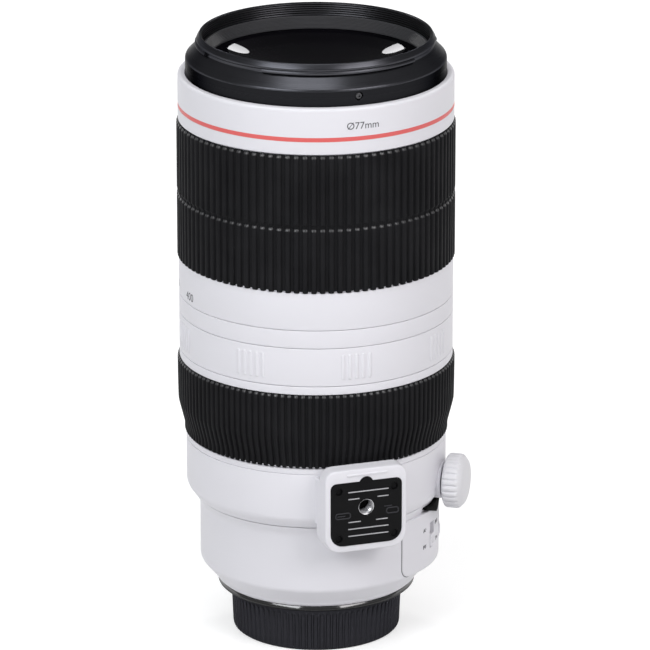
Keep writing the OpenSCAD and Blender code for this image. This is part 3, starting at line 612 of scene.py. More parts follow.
def front_group():
    """Front barrel, accent stripe, filter ring with its rails, retainer, glass and extension tube."""
    skin = 0.6
    tube = hoop(TUBE_R - skin, TUBE_R, TUBE_Z0, TUBE_Z1, 0.2)
    white("extension_tube_wall", lathe(tube), "front", ["extension_tube"])
    lining = hoop(TUBE_R - TUBE_WALL, TUBE_R - skin, TUBE_Z0 + 0.1, TUBE_Z1)
    build("extension_tube_lining", lathe(lining, 144), "front", FLOCK)

    groove = 0.15
    barrel = fillet([
        (TUBE_R + 0.05, FRONT_Z0), (FRONT_R, FRONT_Z0, 0.3), (FRONT_R, STRIPE_Z0 - 0.02),
        (FRONT_R - groove, STRIPE_Z0 - 0.02), (FRONT_R - groove, STRIPE_Z1 + 0.02),
        (FRONT_R, STRIPE_Z1 + 0.02), (FRONT_R, FRONT_Z1, 1.9), (HOOD_R + 0.08, FRONT_Z1, 0.3),
        (HOOD_R + 0.08, FRONT_Z0 + 2.4), (TUBE_R + 1.7, FRONT_Z0 + 2.4), (TUBE_R + 1.7, TUBE_Z1),
        (TUBE_R + 0.05, TUBE_Z1)], 6)
    white("front_barrel_shell", lathe(barrel, 360), "front", ["front_barrel"])
    stripe = hoop(STRIPE_R - 0.5, STRIPE_R - 0.01, STRIPE_Z0, STRIPE_Z1, 0.08, 0.08)
    build("accent_stripe", lathe(stripe, 360), "front", RED, ["accent_ring"])
    filter_ring()

    clear_r = GLASS_R - 0.4
    steps = 9
    tread = 0.72
    stair = []
    seat = RETAIN_Z0 + 0.4
    low = (clear_r, seat + 0.35)
    high = (RETAIN_R - 0.35, RETAIN_Z1)
    for k in range(steps):
        for rise in (0.0, tread):
            stair.append((low[0] + (high[0] - low[0]) * (k + tread) / steps,
                          low[1] + (high[1] - low[1]) * (k + rise) / steps))
    retainer = [(clear_r, seat), (GLASS_R + 0.3, seat), (GLASS_R + 0.3, RETAIN_Z0),
                (RETAIN_R - 0.3, RETAIN_Z0), (RETAIN_R, RETAIN_Z1), high]
    build("front_retainer_ring", lathe(retainer + stair[::-1] + [low]), "front", RETAINER_BLACK,
          ["front_retainer"], crease=50)

    curve_front = 245
    curve_back = 80
    arcs = 18
    spread = [GLASS_R * i / arcs for i in range(arcs + 1)]
    front = [(r, GLASS_Z1 - curve_front + sqrt(curve_front ** 2 - r * r)) for r in spread]
    back = [(r, GLASS_Z0 + curve_back - sqrt(curve_back ** 2 - r * r)) for r in spread[::-1]]
    glass = build("front_glass", lathe(front + back, 192), "front", FRONT_GLASS,
                  ["front_element"])
    # Painted shade: the downward faces take the opaque near-black back finish.
    glass.data.materials.append(PAINTED_SHADE_BACK_GLASS.material)
    for face in glass.data.polygons:
        face.material_index = int(face.normal.z < 0)
    mark_z = STRIPE_Z1 + 0.36 * (FRONT_Z1 - STRIPE_Z1)
    mark = lettering("Ø77mm", 3.4, 0.6, mark_z, FRONT_R)
    build("thread_size_mark", mark, "front", INK)


def filter_ring():
    """Black ring with the filter thread, the hood's rails and its three set screws."""
    thread_z0 = RIM_Z - 4.4
    thread_z1 = RIM_Z - 0.6
    samples = 8 * int((thread_z1 - thread_z0) / THREAD_PITCH)
    threads = [(FILTER_R + 0.46, RIM_Z - 0.25), (FILTER_R + 0.3, RIM_Z - 0.25)]
    for k in range(samples + 1):
        drop = THREAD_PITCH * k / 8
        threads.append((FILTER_R + 0.1 * (1 - cos(pi * k / 4)), thread_z1 - drop))
    threads += [(FILTER_R + 0.2, thread_z0 + 0.01), (FILTER_R + 0.46, thread_z0 + 0.01)]
    ring = [(GLASS_R + 1.05, HOOD_Z0), (HOOD_R, HOOD_Z0, 0.3), (HOOD_R, HOOD_TOP, 0.7),
            (GROOVE_R + 0.1, HOOD_TOP + 4.1, 0.2), (GROOVE_R, RIM_Z - 2.7, 0.2),
            (RIM_R, RIM_Z - 2.5, 0.3), (RIM_R, RIM_Z - 1.75, 0.3),
            (RIM_R - 1.05, RIM_Z, 0.3), (FILTER_R + 0.45, RIM_Z, 0.3), (FILTER_R + 0.45, thread_z0),
            (RETAIN_R + 0.05, thread_z0), (RETAIN_R - 0.25, HOOD_TOP - 1.2),
            (GLASS_R + 1.05, HOOD_TOP - 1.2)]
    screw_z = centre("hood_ring_screws").z
    recess = [(0, HOOD_R - 1.2), (1.2, HOOD_R - 1.2), (1.2, HOOD_R - 0.3), (1.65, HOOD_R + 0.3),
              (0, HOOD_R + 0.3)]
    holes = [moved(turned(recess), facing(az, screw_z)) for az in THIRDS]
    build("filter_ring_body", lathe(fillet(ring), 360), "front", HOOD_BLACK,
          ["filter_ring"], holes)
    build("filter_thread_sleeve", lathe(threads, 360), "front", THREAD_BLACK, crease=58)
    rail = fillet([(GROOVE_R - 0.2, RIM_Z - 3.7), (RIM_R + 0.3, RIM_Z - 3.7, 0.1),
                   (RIM_R + 0.5, RIM_Z - 3.45, 0.1), (RIM_R + 0.5, RIM_Z - 2.95, 0.1),
                   (RIM_R + 0.2, RIM_Z - 2.45, 0.1), (GROOVE_R - 0.2, RIM_Z - 2.3)])
    rails = [sector(rail, az - 45, az + 35, 48) for az in THIRDS]
    build("hood_rails", joined(*rails), "front", HOOD_BLACK)
    screw = fillet([(0, HOOD_R - 1.4), (1.12, HOOD_R - 1.4), (1.12, HOOD_R - 0.5, 0.2),
                    (0.55, HOOD_R - 0.42, 0.1), (0.48, HOOD_R - 1.1), (0, HOOD_R - 1.15)])
    screws = [moved(turned(screw, 24), facing(az, screw_z)) for az in THIRDS]
    build("hood_set_screws", joined(*screws), "front", SCREW_STEEL, ["hood_ring_screws"])


def rib_end(radius, top, depth):
    """Stations that round and chamfer the upper end of the grip ribs."""
    return [(radius, top - 1.0, depth), (radius - 0.05, top - 0.85, depth),
            (radius - 0.42, top - 0.22, 0.7), (radius - 0.6, top - 0.06, 0.5), (radius - 0.75, top, 0.25)]


def rib_block(low, high, depth, open_depth):
    """Stations of one straight block of grip ribs: rounded tops, and grooves that run out below."""
    return [(GRIP_R - 0.45, low, open_depth - 0.35), (GRIP_R - 0.12, low + 0.12, open_depth),
            (GRIP_R, low + 0.3, open_depth), (GRIP_R, low + 0.45, open_depth),
            (GRIP_R, low + 0.55, depth), (GRIP_R, (low + high) / 2, depth), *rib_end(GRIP_R, high, depth)]


def zoom_group():
    """Zoom ring with its printed scale and ribbed grip."""
    core = GRIP_R - 1.2
    bore = RING_R - WALL
    ring = fillet([(bore, ZOOM_Z0 - 0.1), (RING_R, ZOOM_Z0 - 0.1, 0.18), (RING_R, GRIP_Z0, 0.2),
                   (core, GRIP_Z0), (core, ZOOM_Z1, 0.2), (TUBE_R + 0.5, ZOOM_Z1, 0.3),
                   (TUBE_R + 0.5, ZOOM_Z1 - 2), (bore - 0.3, ZOOM_Z1 - 2), (bore - 0.3, ZOOM_Z0 + 8.8),
                   (bore, ZOOM_Z0 + 8.8)])
    white("zoom_ring_shell", lathe(ring, 360), "zoom", ["zoom_ring"])
    depth = 0.85
    stations = [(core - 0.2, GRIP_Z0 + 0.02, 0)] + rib_block(GRIP_Z0 + 0.02, GRIP_SPLIT, depth, 1.32)
    stations += rib_block(GRIP_SPLIT + 1.1, GRIP_Z1, depth, depth) + [(core - 0.2, GRIP_Z1 - 0.02, 0)]
    build("zoom_grip_rubber", ribbed(stations, ZOOM_RIBS), "zoom", GRIP, ["zoom_grip"],
          crease=50)

    print_z = GRIP_Z0 - 10.1
    focal = ((100, 0), (135, 0.2), (200, 0.44), (300, 0.75), (400, 1))
    marks = [lettering(str(number), 3.9, SCALE_AZ + ZOOM_TURN * share, print_z, RING_R)
             for number, share in focal]
    build("focal_length_print", joined(*marks), "zoom", INK)


def middle_rings():
    """Index ring, tension ring with its rib groups, focus ring and grip, and the fixed band."""
    bore = RING_R - WALL
    index = hoop(bore - 0.3, RING_R, INDEX_Z0 - 0.1, INDEX_Z1 + 0.1, 0.18, 0.18)
    white("index_ring_shell", lathe(index, 360), "barrel", ["index_ring"])
    line = stroke(0.5, INDEX_Z1 - INDEX_Z0 - 1.6, SCALE_AZ, (INDEX_Z0 + INDEX_Z1) / 2, RING_R)
    build("index_line", line, "barrel", INK)

    tension = hoop(bore, RING_R, TENSION_Z0 - 0.1, TENSION_Z1 + 0.1, 0.18, 0.18)
    bars = []
    for group in range(8):
        for k in range(-2, 3):
            bar = shifted(ridge(1.25, TENSION_Z1 - TENSION_Z0 - 4, 0.3, 0.4), 0, 0, RING_R)
            place = wrapped(45 * group - 2 + 2.85 * k, (TENSION_Z0 + TENSION_Z1) / 2, RING_R)
            bars.append(moved(bar, place))
    white("tension_ring_shell", joined(lathe(tension, 360), *bars), "tension", ["tension_ring"])

    cone = 2.75
    belly = 11.3
    top = FOCUS_Z1 - FOCUS_Z0 - 0.27
    low_r = FOCUS_R - 2.3
    core = low_r - 1.0
    ring = fillet([(core - 0.9, FOCUS_Z0), (core, FOCUS_Z0), (core, FOCUS_Z0 + cone),
                   (FOCUS_R - 1.2, FOCUS_Z0 + belly), (FOCUS_R - 1.2, FOCUS_Z1 - 0.2),
                   (RING_R, FOCUS_Z1 - 0.2, 0.18), (RING_R, LIP_Z1 + 0.1, 0.18), (bore, LIP_Z1 + 0.1),
                   (bore, FOCUS_Z0 + belly), (core - 0.9, FOCUS_Z0 + 9)])
    white("focus_ring_shell", lathe(ring, 360), "focus", ["focus_ring"])
    depth = 0.75
    shape = [(low_r - 0.45, 0.0, 0.75), (low_r - 0.12, 0.12, 1.12), (low_r, 0.25, 1.12),
             (low_r, 0.35, 1.12), (low_r, 0.45, depth), (low_r, cone - 0.8, depth),
             (low_r + 0.15, cone + 0.5, depth), (low_r + 1.1, 0.5 * (cone + belly), depth),
             (FOCUS_R - 0.42, belly - 1.2, depth), (FOCUS_R - 0.2, belly, depth),
             (FOCUS_R - 0.14, belly + 1.6, depth), (FOCUS_R - 0.05, 0.7 * top, depth),
             *rib_end(FOCUS_R, top, depth)]
    stations = [(core - 0.2, FOCUS_Z0 + 0.02, 0)] + [(r, FOCUS_Z0 + z, cut) for r, z, cut in shape]
    stations += [(FOCUS_R - 1.4, FOCUS_Z0 + top, 0), (FOCUS_R - 1.4, FOCUS_Z0 + belly, 0),
                 (core - 0.2, FOCUS_Z0 + cone, 0)]
    build("focus_grip_rubber", ribbed(stations, FOCUS_RIBS), "focus", GRIP, ["focus_grip"],
          crease=50)

    band_z1 = FOCUS_Z0 - 0.3
    band = fillet([(SLEEVE_R - 4.2, SLEEVE_Z0), (SLEEVE_R, SLEEVE_Z0, 0.18), (SLEEVE_R, band_z1, 0.25),
                   (core - 1.2, band_z1), (core - 1.2, FOCUS_Z0 + 9.4), (bore - 0.3, FOCUS_Z0 + 11.2),
                   (bore - 0.3, SLEEVE_Z1), (bore - 2.6, SLEEVE_Z1), (bore - 2.6, band_z1),
                   (SLEEVE_R - 4.2, band_z1)])
    white("outer_sleeve_shell", lathe(band), "barrel", ["outer_sleeve"])


def plate_part(grow, layers, bump_layers):
    """Foot plate outline with its half-round bump, lofted outwards."""
    rounding = [2.0 + grow, 2.0 + grow, 4.5 + grow, 4.5 + grow]
    plate = slab(PLATE_W + 2 * grow, PLATE_TALL + 2 * grow, rounding, layers)
    bump = []
    for out, inset in bump_layers:
        r = PLATE_BUMP + grow - inset
        turns = [pi * i / 20 for i in range(40)]
        bump.append([(r * cos(a), PLATE_TALL / 2 - PLATE_BUMP_IN + r * sin(a), out) for a in turns])
    return [moved(part, facing(0, PLATE_MID)) for part in (plate, woven(bump, False))]


def collar_group():
    """Tripod collar with its pad, which is bored for the bush."""
    chamfer = 3.4
    ring = fillet([(COLLAR_BORE, COLLAR_Z0), (COLLAR_R - 2.4, COLLAR_Z0, 0.35),
                   (COLLAR_R, COLLAR_Z0 + chamfer, 1.2), (COLLAR_R, COLLAR_Z1 + 0.1, 0.2),
                   (COLLAR_BORE, COLLAR_Z1 + 0.1)])
    white("collar_ring", lathe(ring, 360), "collar", ["tripod_collar"])

    mid = (PAD_Z0 + PAD_Z1) / 2
    soft = [(1.2, 0), (0.7, 0.03), (0.32, 0.15), (0.1, 0.38), (0.0, 0.75)]
    pad_back = 46.4
    root_back = 43.0
    neck_back = 37.5
    layers = [(pad_back, -0.1), (PAD_FACE - 3.0, 0)] + [(PAD_FACE - deep, inset) for deep, inset in soft]
    pad = moved(slab(PAD_W, PAD_Z1 - PAD_Z0, [3.8, 3.8, 5.6, 5.6], layers), facing(0, mid))
    well = [(PAD_FACE - 1.9, 0), (PAD_FACE + 1, 0)]
    seat = hoop(0, TRIPOD_R + 0.9, PAD_FACE - 7.6, PAD_FACE)
    seat = moved(turned(seat, 64), facing(0, TRIPOD_Z))
    pockets = plate_part(0.06, well, well) + [seat]
    white("foot_pad", pad, "collar", (), pockets, crease=24)
    root_z1 = COLLAR_Z1 - 0.2
    neck_z0 = COLLAR_Z0 + 2.4
    root = slab(PAD_W + 0.1, root_z1 - PAD_Z0, [0.6, 0.6, 5.6, 5.6],
                [(root_back, 0), (pad_back + 0.2, 0)])
    neck = slab(PAD_W + 0.3, root_z1 - neck_z0, [0.6] * 4, [(neck_back, 0), (root_back + 0.2, 0)])
    white("foot_pad_root", moved(root, facing(0, (root_z1 + PAD_Z0) / 2)), "collar", (), [seat])
    white("foot_pad_neck", moved(neck, facing(0, (root_z1 + neck_z0) / 2)), "collar")
    lip = shifted(level(ridge(0.8, 14.5, 0.3, 0.2)), 0.3, 0, PAD_FACE)
    white("pad_lip", moved(lip, facing(0, PLATE_Z1 + 2.45)), "collar")
    foot_plate()


def foot_plate():
    """Black foot plate with pale ridges, four screws and the threaded bush."""
    on_plate = facing(0, PLATE_MID)
    on_bush = facing(0, TRIPOD_Z)
    edge = [(PAD_FACE - 1.85, 0), (PLATE_FACE - 0.25, 0), (PLATE_FACE - 0.06, 0.08), (PLATE_FACE, 0.3)]
    low_edge = [(out - 0.04 * (out > PAD_FACE), inset) for out, inset in edge]
    spots = [(sx * (PLATE_W / 2 - 2.8), sz * (PLATE_TALL / 2 - 2.8)) for sx in (-1, 1) for sz in (-1, 1)]
    recess = [(0, PLATE_FACE - 0.9), (1.3, PLATE_FACE - 0.9), (1.3, PLATE_FACE - 0.15),
              (1.45, PLATE_FACE + 0.2), (0, PLATE_FACE + 0.2)]
    wells = [moved(shifted(turned(recess), x, z), on_plate) for x, z in spots]
    bore = [(0, 40), (TRIPOD_R + 0.2, 40), (TRIPOD_R + 0.2, PLATE_FACE - 0.15),
            (TRIPOD_R + 0.5, PLATE_FACE + 0.2), (0, PLATE_FACE + 0.2)]
    hole = moved(turned(bore, 64), on_bush)
    plate, bump = plate_part(0, edge, low_edge)
    build("foot_plate_body", plate, "collar", PLATE_BLACK, ["foot_plate"], [hole] + wells)
    build("foot_plate_bump", bump, "collar", PLATE_BLACK)

    rows = ((0.15, -0.26, 0.31, 0.42), (0.735, -0.26, 0.31, 0.42), (0.845, -0.26, 0.31, 0.42),
            (0.26, -0.26, -0.1, 0.42), (0.26, 0.15, 0.31, 0.42), (0.625, -0.26, -0.08, 0.38),
            (0.625, 0.13, 0.3, 0.38))
    bars = []
    for drop, left, right, thick in rows:
        bar = level(ridge(thick, (right - left) * PLATE_W, 0.22, 0.15))
        bars.append(shifted(bar, (left + right) / 2 * PLATE_W, PLATE_TALL * (0.5 - drop), PLATE_FACE))
    build("foot_plate_ridges", moved(joined(*bars), on_plate), "collar", ALUMINIUM)
    rim = [(-0.15, 0), (0.1, 0), (0.2, 0.12), (0.2, 0.3), (0.1, 0.42), (-0.15, 0.42)]
    tabs = [shifted(woven(layered(width, 2.3, [1.0] * 4, rim)), x, z, PLATE_FACE)
            for x, z, width in ((-8.3, -0.35, 5.6), (9.2, -0.1, 4.6))]
    pips = [shifted(level(ridge(0.4, 3.0, 0.2, 0.15)), x, z, PLATE_FACE)
            for x, z in ((-9.0, -0.35), (7.6, 1.6))]
    build("foot_plate_tabs", moved(joined(*tabs, *pips), on_plate), "collar", DARK_STEEL)

    face = PLATE_FACE - 0.7
    head = fillet([(0, face - 3), (1.25, face - 3), (1.25, face, 0.2), (0.7, face + 0.02, 0.1),
                   (0.55, face - 0.45), (0, face - 0.5)])
    heads = [moved(shifted(turned(head), x, z), on_plate) for x, z in spots]
    build("foot_plate_screw_heads", joined(*heads), "collar", CELL_BLACK, ["foot_plate_screws"])

    lip = PLATE_FACE - 0.35
    bush = [(TRIPOD_R + 0.85, lip - 7.2), (TRIPOD_R + 0.85, PAD_FACE - 1.95),
            (TRIPOD_R + 0.19, PAD_FACE - 1.9), (TRIPOD_R + 0.19, lip)]
    for k in range(20):
        share = k / 5
        groove = 0.32 * (1 - cos(2 * pi * share))
        bush.append((TRIPOD_R + groove, lip - 0.1 - TRIPOD_PITCH * share))
    bush += [(TRIPOD_R, lip - 6.5), (0.6, lip - 6.5), (0.6, lip - 7.2)]
    build("tripod_bush_insert", moved(turned(bush, 64), on_bush), "collar", STEEL,
          ["tripod_bush"], crease=70)
    # Painted shade: the bore's floor is black so that the hole reads as deep shadow.
    floor_r = TRIPOD_R - 0.02
    floor = fillet([(0, lip - 6.9), (floor_r, lip - 6.9), (floor_r, lip - 5.4, 0.1), (0, lip - 5.6)])
    build("tripod_bush_shade_floor", moved(turned(floor), on_bush), "collar", CELL_BLACK)


def knob_group():
    """Lock knob with a ribbed side, a bevel and a domed face, on its boss."""
    spot = centre("lock_knob")
    az = degrees(atan2(spot.x, -spot.y))
    on_boss = facing(az, spot.z)
    lo, hi = corners("lock_knob")
    knob_r = (hi.z - lo.z) / 2
    inner = COLLAR_R + 1.6
    outer = inner + 7.3
    stations = [(2.6, inner, 0), (knob_r - 2.4, inner, 0), (knob_r - 1.2, inner + 0.15, 0),
                (knob_r - 0.5, inner + 0.5, 0.2), (knob_r - 0.1, inner + 0.9, 0.5),
                (knob_r, inner + 1.4, 0.6), (knob_r, inner + 4.6, 0.6),
                (knob_r - 0.15, inner + 5.2, 0.5), (knob_r - 0.6, inner + 5.7, 0.12),
                (knob_r - 1.0, inner + 6.0, 0), (knob_r - 1.9, inner + 6.75, 0),
                (knob_r - 2.6, outer - 0.28, 0), (knob_r - 4.5, outer - 0.08, 0), (0, outer, 0),
                (0, outer - 1.5, 0), (2.6, outer - 1.5, 0)]
    flute = ((0.0, 1.0), (0.07, 0.9), (0.13, 0.5), (0.2, 0.18), (0.32, 0.03), (0.5, 0.0), (0.68, 0.03),
             (0.8, 0.18), (0.87, 0.5), (0.93, 0.9))
    rows = [[(r * cos(radians(a)), r * sin(radians(a)), out) for a, r, out in row]
            for row in ribbed_rows(stations, KNOB_FLUTES, flute)]
    build("lock_knob_cap", moved(woven(rows), on_boss), "knob", KNOB_WHITE,
          ["lock_knob"], crease=50)
    boss = hoop(2.7, 6.4, COLLAR_BORE + 0.5, inner - 0.75, 0, 0.35)
    white("lock_knob_boss", moved(turned(boss, 72), on_boss), "collar")
    washer = hoop(2.7, 5.5, inner - 0.8, inner - 0.3, 0, 0.1)
    build("lock_knob_washer", moved(turned(washer, 48), on_boss), "collar", DARK_STEEL)


def rear_group():
    """Rear barrel with the distance window, drum and switches, mount seal and cap."""
    rim_r = SEAL_R + 0.4
    cone_z0 = REAR_Z0 + 2.1
    cone_z1 = REAR_Z0 + 7.6
    foot_z = COLLAR_Z0 - 0.3
    cavity = BARREL_R - 2.2
    web_r = 24.65
    barrel = fillet([
        (rim_r - 1.9, REAR_Z0), (rim_r - 0.85, REAR_Z0, 0.2), (rim_r + 0.15, REAR_Z0 + 0.9, 0.3),
        (rim_r + 0.8, cone_z0, 0.45), (BARREL_R, cone_z1, 1.1), (BARREL_R, foot_z - 3.2, 1.2),
        (BARREL_R + 1.75, foot_z - 0.1, 0.5), (BARREL_R + 1.75, foot_z, 0.1),
        (COLLAR_BORE - 0.3, foot_z), (COLLAR_BORE - 0.3, REAR_Z1), (COLLAR_BORE - 1.25, REAR_Z1),
        (COLLAR_BORE - 1.25, foot_z + 9), (cavity, foot_z + 9), (cavity, cone_z1 + 0.2),
        (rim_r - 0.3, REAR_Z0 + 4.6), (web_r, REAR_Z0 + 4.6), (web_r, REAR_Z0 + 2.2),
        (rim_r - 1.9, REAR_Z0 + 2.2)])
    lo, hi = corners("distance_window")
    wide = hi.x - lo.x
    tall = hi.z - lo.z
    window_z = (hi.z + lo.z) / 2
    opening = slab(wide, tall, [1.2] * 4, [(BARREL_R - 6, 0), (BARREL_R + 4, 0)])
    white("rear_barrel_shell", lathe(barrel, 360), "barrel", ["rear_barrel"],
          [moved(opening, facing(WINDOW_AZ, window_z))])
    lips = [(BARREL_R - 1.0, -0.9), (BARREL_R + 0.2, -0.9), (BARREL_R + 0.3, -0.75),
            (BARREL_R + 0.3, -0.1), (BARREL_R - 1.6, 0)]
    bezel = woven(layered(wide, tall, [1.2] * 4, lips, 24, 8))
    bezel = moved(bezel, wrapped(WINDOW_AZ, window_z, BARREL_R))
    build("window_bezel", bezel, "barrel", HOOD_BLACK)
    pane_half = 15.4
    pane = hoop(BARREL_R - 1.5, BARREL_R - 0.3, lo.z + 0.1, hi.z - 0.1)
    pane = sector(pane, WINDOW_AZ - pane_half, WINDOW_AZ + pane_half, 32)
    build("distance_window_pane", pane, "barrel", WINDOW, ["distance_window"])
    drum_r, drum_z0, drum_z1 = round_node("distance_scale")
    drum = hoop(drum_r - 1.1, drum_r, drum_z0, drum_z1, 0.2, 0.2)
    build("distance_drum", lathe(drum), "rotor", SCALE, ["distance_scale"])
    marks = []
    for k, number in enumerate(("1", "1.2", "1.5", "2", "3", "5", "10", "∞")):
        az = FIGURE_AZ - FIGURE_STEP * k
        marks.append(lettering(number, 2.9, az, drum_z1 - 4.2, drum_r, 0.02))
        marks.append(stroke(0.3, 1.4, az, drum_z0 + 3.2, drum_r))
    build("distance_figures", joined(*marks), "rotor", PALE_INK)
    switches()

    seal = fillet([(SEAL_R - 1.65, SEAL_Z1), (SEAL_R - 1.65, SEAL_Z0 + 1.2),
                   (SEAL_R - 0.6, SEAL_Z0, 0.3), (SEAL_R, SEAL_Z0 + 0.6, 0.4),
                   (SEAL_R - 0.6, SEAL_Z1 - 0.15, 0.15), (SEAL_R - 0.8, SEAL_Z1)], 6)
    build("mount_seal_lip", lathe(seal), "barrel", SEAL, ["mount_seal"])
    wall = CAP_R - 1.6
    bore = wall - 1.5
    rib = ((0.0, 0.0), (0.1, 0.03), (0.16, 0.3), (0.2, 0.8), (0.26, 1.0), (0.5, 1.0), (0.74, 1.0),
           (0.8, 0.8), (0.84, 0.3), (0.9, 0.03))
    stations = [(0, 0, 0), (wall - 1.6, 0, 0), (wall - 0.8, 0.12, 0), (wall - 0.35, 0.5, 0.1),
                (wall - 0.2, 1.1, 0.45), (wall + 0.1, CAP_Z1 * 0.5, 0.5),
                (wall + 0.4, CAP_Z1 - 4.6, 0.5), (wall + 0.5, CAP_Z1 - 4.1, 0.15),
                (wall + 0.5, CAP_Z1 - 3.8, 0), (CAP_R - 0.35, CAP_Z1 - 2.4, 0),
                (CAP_R, CAP_Z1 - 2.0, 0), (CAP_R, CAP_Z1 - 0.9, 0), (CAP_R - 0.15, CAP_Z1 - 0.5, 0),
                (CAP_R - 0.7, CAP_Z1, 0), (bore, CAP_Z1, 0), (bore, 1.6, 0), (0, 1.6, 0)]
    build("rear_cap_shell", ribbed(stations, CAP_RIBS, rib), "cap", CAP_BLACK,
          ["rear_cap"], crease=50)


SWITCHES = (("switch_focus_mode", "focus_mode", ("MF", "AF")),
            ("switch_range", "focus_range", ("3 m", "FULL")),
            ("switch_stabiliser", "stabiliser_power", ("OFF", "ON")),
            ("switch_mode", "stabiliser_mode", ("3", "2", "1")))
PANEL_AZ = 75
PANEL_SPAN = 94
PANEL_RISE = 2.35
PANEL_CURVE = 3.25
PANEL_CORNERS = (3.2, 3.2, 3.2, 3.2)
SWITCH_TRAVEL = 4.0
LABEL_AZ = -7.6
# Place and steps of the black wedge that is painted shade under the collar.
SHADE_WEDGE_AZ = 60
SHADE_WEDGE_STEP = 0.75
SHADE_WEDGE_STEPS = 22


def panel_face(az):
    """Distance of the switch panel's face from the lens axis; it curves tighter than the barrel."""
    turn = radians(az - PANEL_AZ)
    face_r = BARREL_R - PANEL_CURVE
    off = PANEL_RISE + PANEL_CURVE
    return off * cos(turn) + sqrt(face_r ** 2 - (off * sin(turn)) ** 2)


def switches():
    """Raised switch panel with four wells, a ridged slider in each, and its printing."""
    lo, hi = corners("switch_panel")
    mid_z = (lo.z + hi.z) / 2
    tall = hi.z - lo.z
    base = BARREL_R - 0.6

    def on_panel(side, up, share):
        az = PANEL_AZ + degrees(side / BARREL_R)
        return polar(base + (panel_face(az) - base) * share, az, mid_z + up)

    layers = [(0.0, 0.02), (0.62, 0.02), (0.86, 0.1), (0.97, 0.3), (1, 0.7), (1, 4), (1, 7),
              (1, tall / 2 - 0.02)]
    width = radians(PANEL_SPAN) * BARREL_R
    panel = moved(slab(width, tall, PANEL_CORNERS, layers, 72, 8, 8), on_panel)
    wells = []
    floors = []
    texts = []
    for node, body, words in SWITCHES:
        spot = centre(node)
        low, high = corners(node)
        az = degrees(atan2(spot.x, -spot.y))
        length = high.z - low.z
        well_z = spot.z + SWITCH_TRAVEL / 2
        top = panel_face(az) + 0.3
        well = slab(3.8, length + SWITCH_TRAVEL + 0.6, [0.7] * 4, [(BARREL_R + 0.6, 0), (top + 3, 0)])
        wells.append(moved(well, facing(az, well_z)))
        slider = [slab(3.2, length, [0.5] * 4, [(BARREL_R + 0.9, 0), (top - 0.35, 0), (top - 0.1, 0.12),
                                                (top - 0.02, 0.35)])]
        for step in (-1, 0, 1):
            slider.append(shifted(level(ridge(0.45, 2.6, 0.22, 0.2)), 0, step * length / 4, top - 0.02))
        white(node + "_slider", moved(joined(*slider), facing(az, spot.z)), body, [node])
        floor = hoop(BARREL_R + 0.35, BARREL_R + 0.62, well_z - 4.5, well_z + 4.5)
        floors.append(sector(floor, az - 2.4, az + 2.4, 4))
        for k, word in enumerate(words):
            rise = -3 + 6 * k / (len(words) - 1)
            label_az = az + LABEL_AZ
            texts.append(lettering(word, 1.9, label_az, well_z + rise, panel_face(label_az), 0.06))
    white("switch_panel_shell", panel, "barrel", ["switch_panel"], wells, crease=24)
    line = hoop(BARREL_R - 0.05, BARREL_R + 0.05, 0.1, -0.22)
    seam = woven(layered(width, tall, PANEL_CORNERS, line, 72, 8, 8))
    seam = moved(seam, wrapped(PANEL_AZ, mid_z, BARREL_R))
    build("switch_panel_seam", seam, "barrel", INK)
    build("switch_well_floors", joined(*floors), "barrel", CELL_BLACK)
    # Painted shade: a black wedge stands for the shadowed gap under the collar.
    bumper(hi.z)
    build("switch_print", joined(*texts), "barrel", INK)


def bumper(panel_top):
    """Black wedge on the barrel over the panel's top edge, thickest in the middle: painted shade, a dark
    piece standing for the shadowed gap under the collar.
    """
    outer = BARREL_R + 2.5
    rows = []
    for k in range(-SHADE_WEDGE_STEPS, SHADE_WEDGE_STEPS + 1):
        side = abs(k) * SHADE_WEDGE_STEP
        high = panel_top + 1.2 + 0.075 * side
        low = min(panel_top - 2.9 + 0.27 * side, high - 0.22 * (16.8 - side))
        edge = 0.2 * (high - low)
        outline = [(BARREL_R - 0.3, high), (BARREL_R - 0.3, low), (outer - 0.3, low),
                   (outer, low + edge), (outer, high - edge), (outer - 0.3, high)]
        rows.append([polar(r, SHADE_WEDGE_AZ + SHADE_WEDGE_STEP * k, z) for r, z in outline])
    build("panel_painted_shade_wedge", woven(rows, False), "barrel", FLOCK)


CAD_FINISH = {
    CELL_BLACK: ("rear_cell", "focus_cell", "stabiliser_base", "stabiliser_cell", "iris_housing",
                 "variator_cell", "front_cell", "contact_block", "rear_baffle", "iris_blades"),
    CHROME: ("mount_bayonet",),
    STEEL: ("mount_screws", "focus_guide_rods", "stabiliser_carrier", "focus_motor_stator", "zoom_keys",
            "front_followers", "variator_followers", "lock_screw"),
    ALUMINIUM: ("guide_barrel", "cam_barrel", "focus_motor_rotor"),
    GOLD: ("contact_pins",),
    BOARD: ("circuit_board",),
    GLASS: ("second_element", "third_element", "variator_front_element", "variator_rear_element",
            "focus_element", "stabiliser_element", "rear_element"),
}


def dress_inner_nodes():
    """Give the inner CAD nodes, which are shown as they are, their finishes."""
    for finish, nodes in CAD_FINISH.items():
        for node in nodes:
            for held in frame["nodes"][node].material_slots:
                held.material = finish.material


VIEW_TURN = 19.0
VIEW_TILT = 18.473
VIEW_LENS = 308.93
VIEW_PLACE = (3.02, -1800.0, 709.1)


def camera():
    """Long lens from above the foot's left, as the picture was taken."""
    turn = radians(VIEW_TURN)
    tilt = radians(VIEW_TILT)
    x, y, z = VIEW_PLACE
    data = bpy.data.cameras.new("view")
    data.lens = VIEW_LENS
    data.sensor_width = 36
    data.clip_end = 20
    eye = placed("view", data)
    eye.location = MM * Vector((x * cos(turn) + y * sin(turn),
                                -x * sin(turn) + y * cos(turn), z))
    ahead = Vector((cos(tilt) * sin(turn), cos(tilt) * cos(turn), -sin(tilt)))
    eye.rotation_euler = ahead.to_track_quat("-Z", "Y").to_euler()
    bpy.context.scene.camera = eye


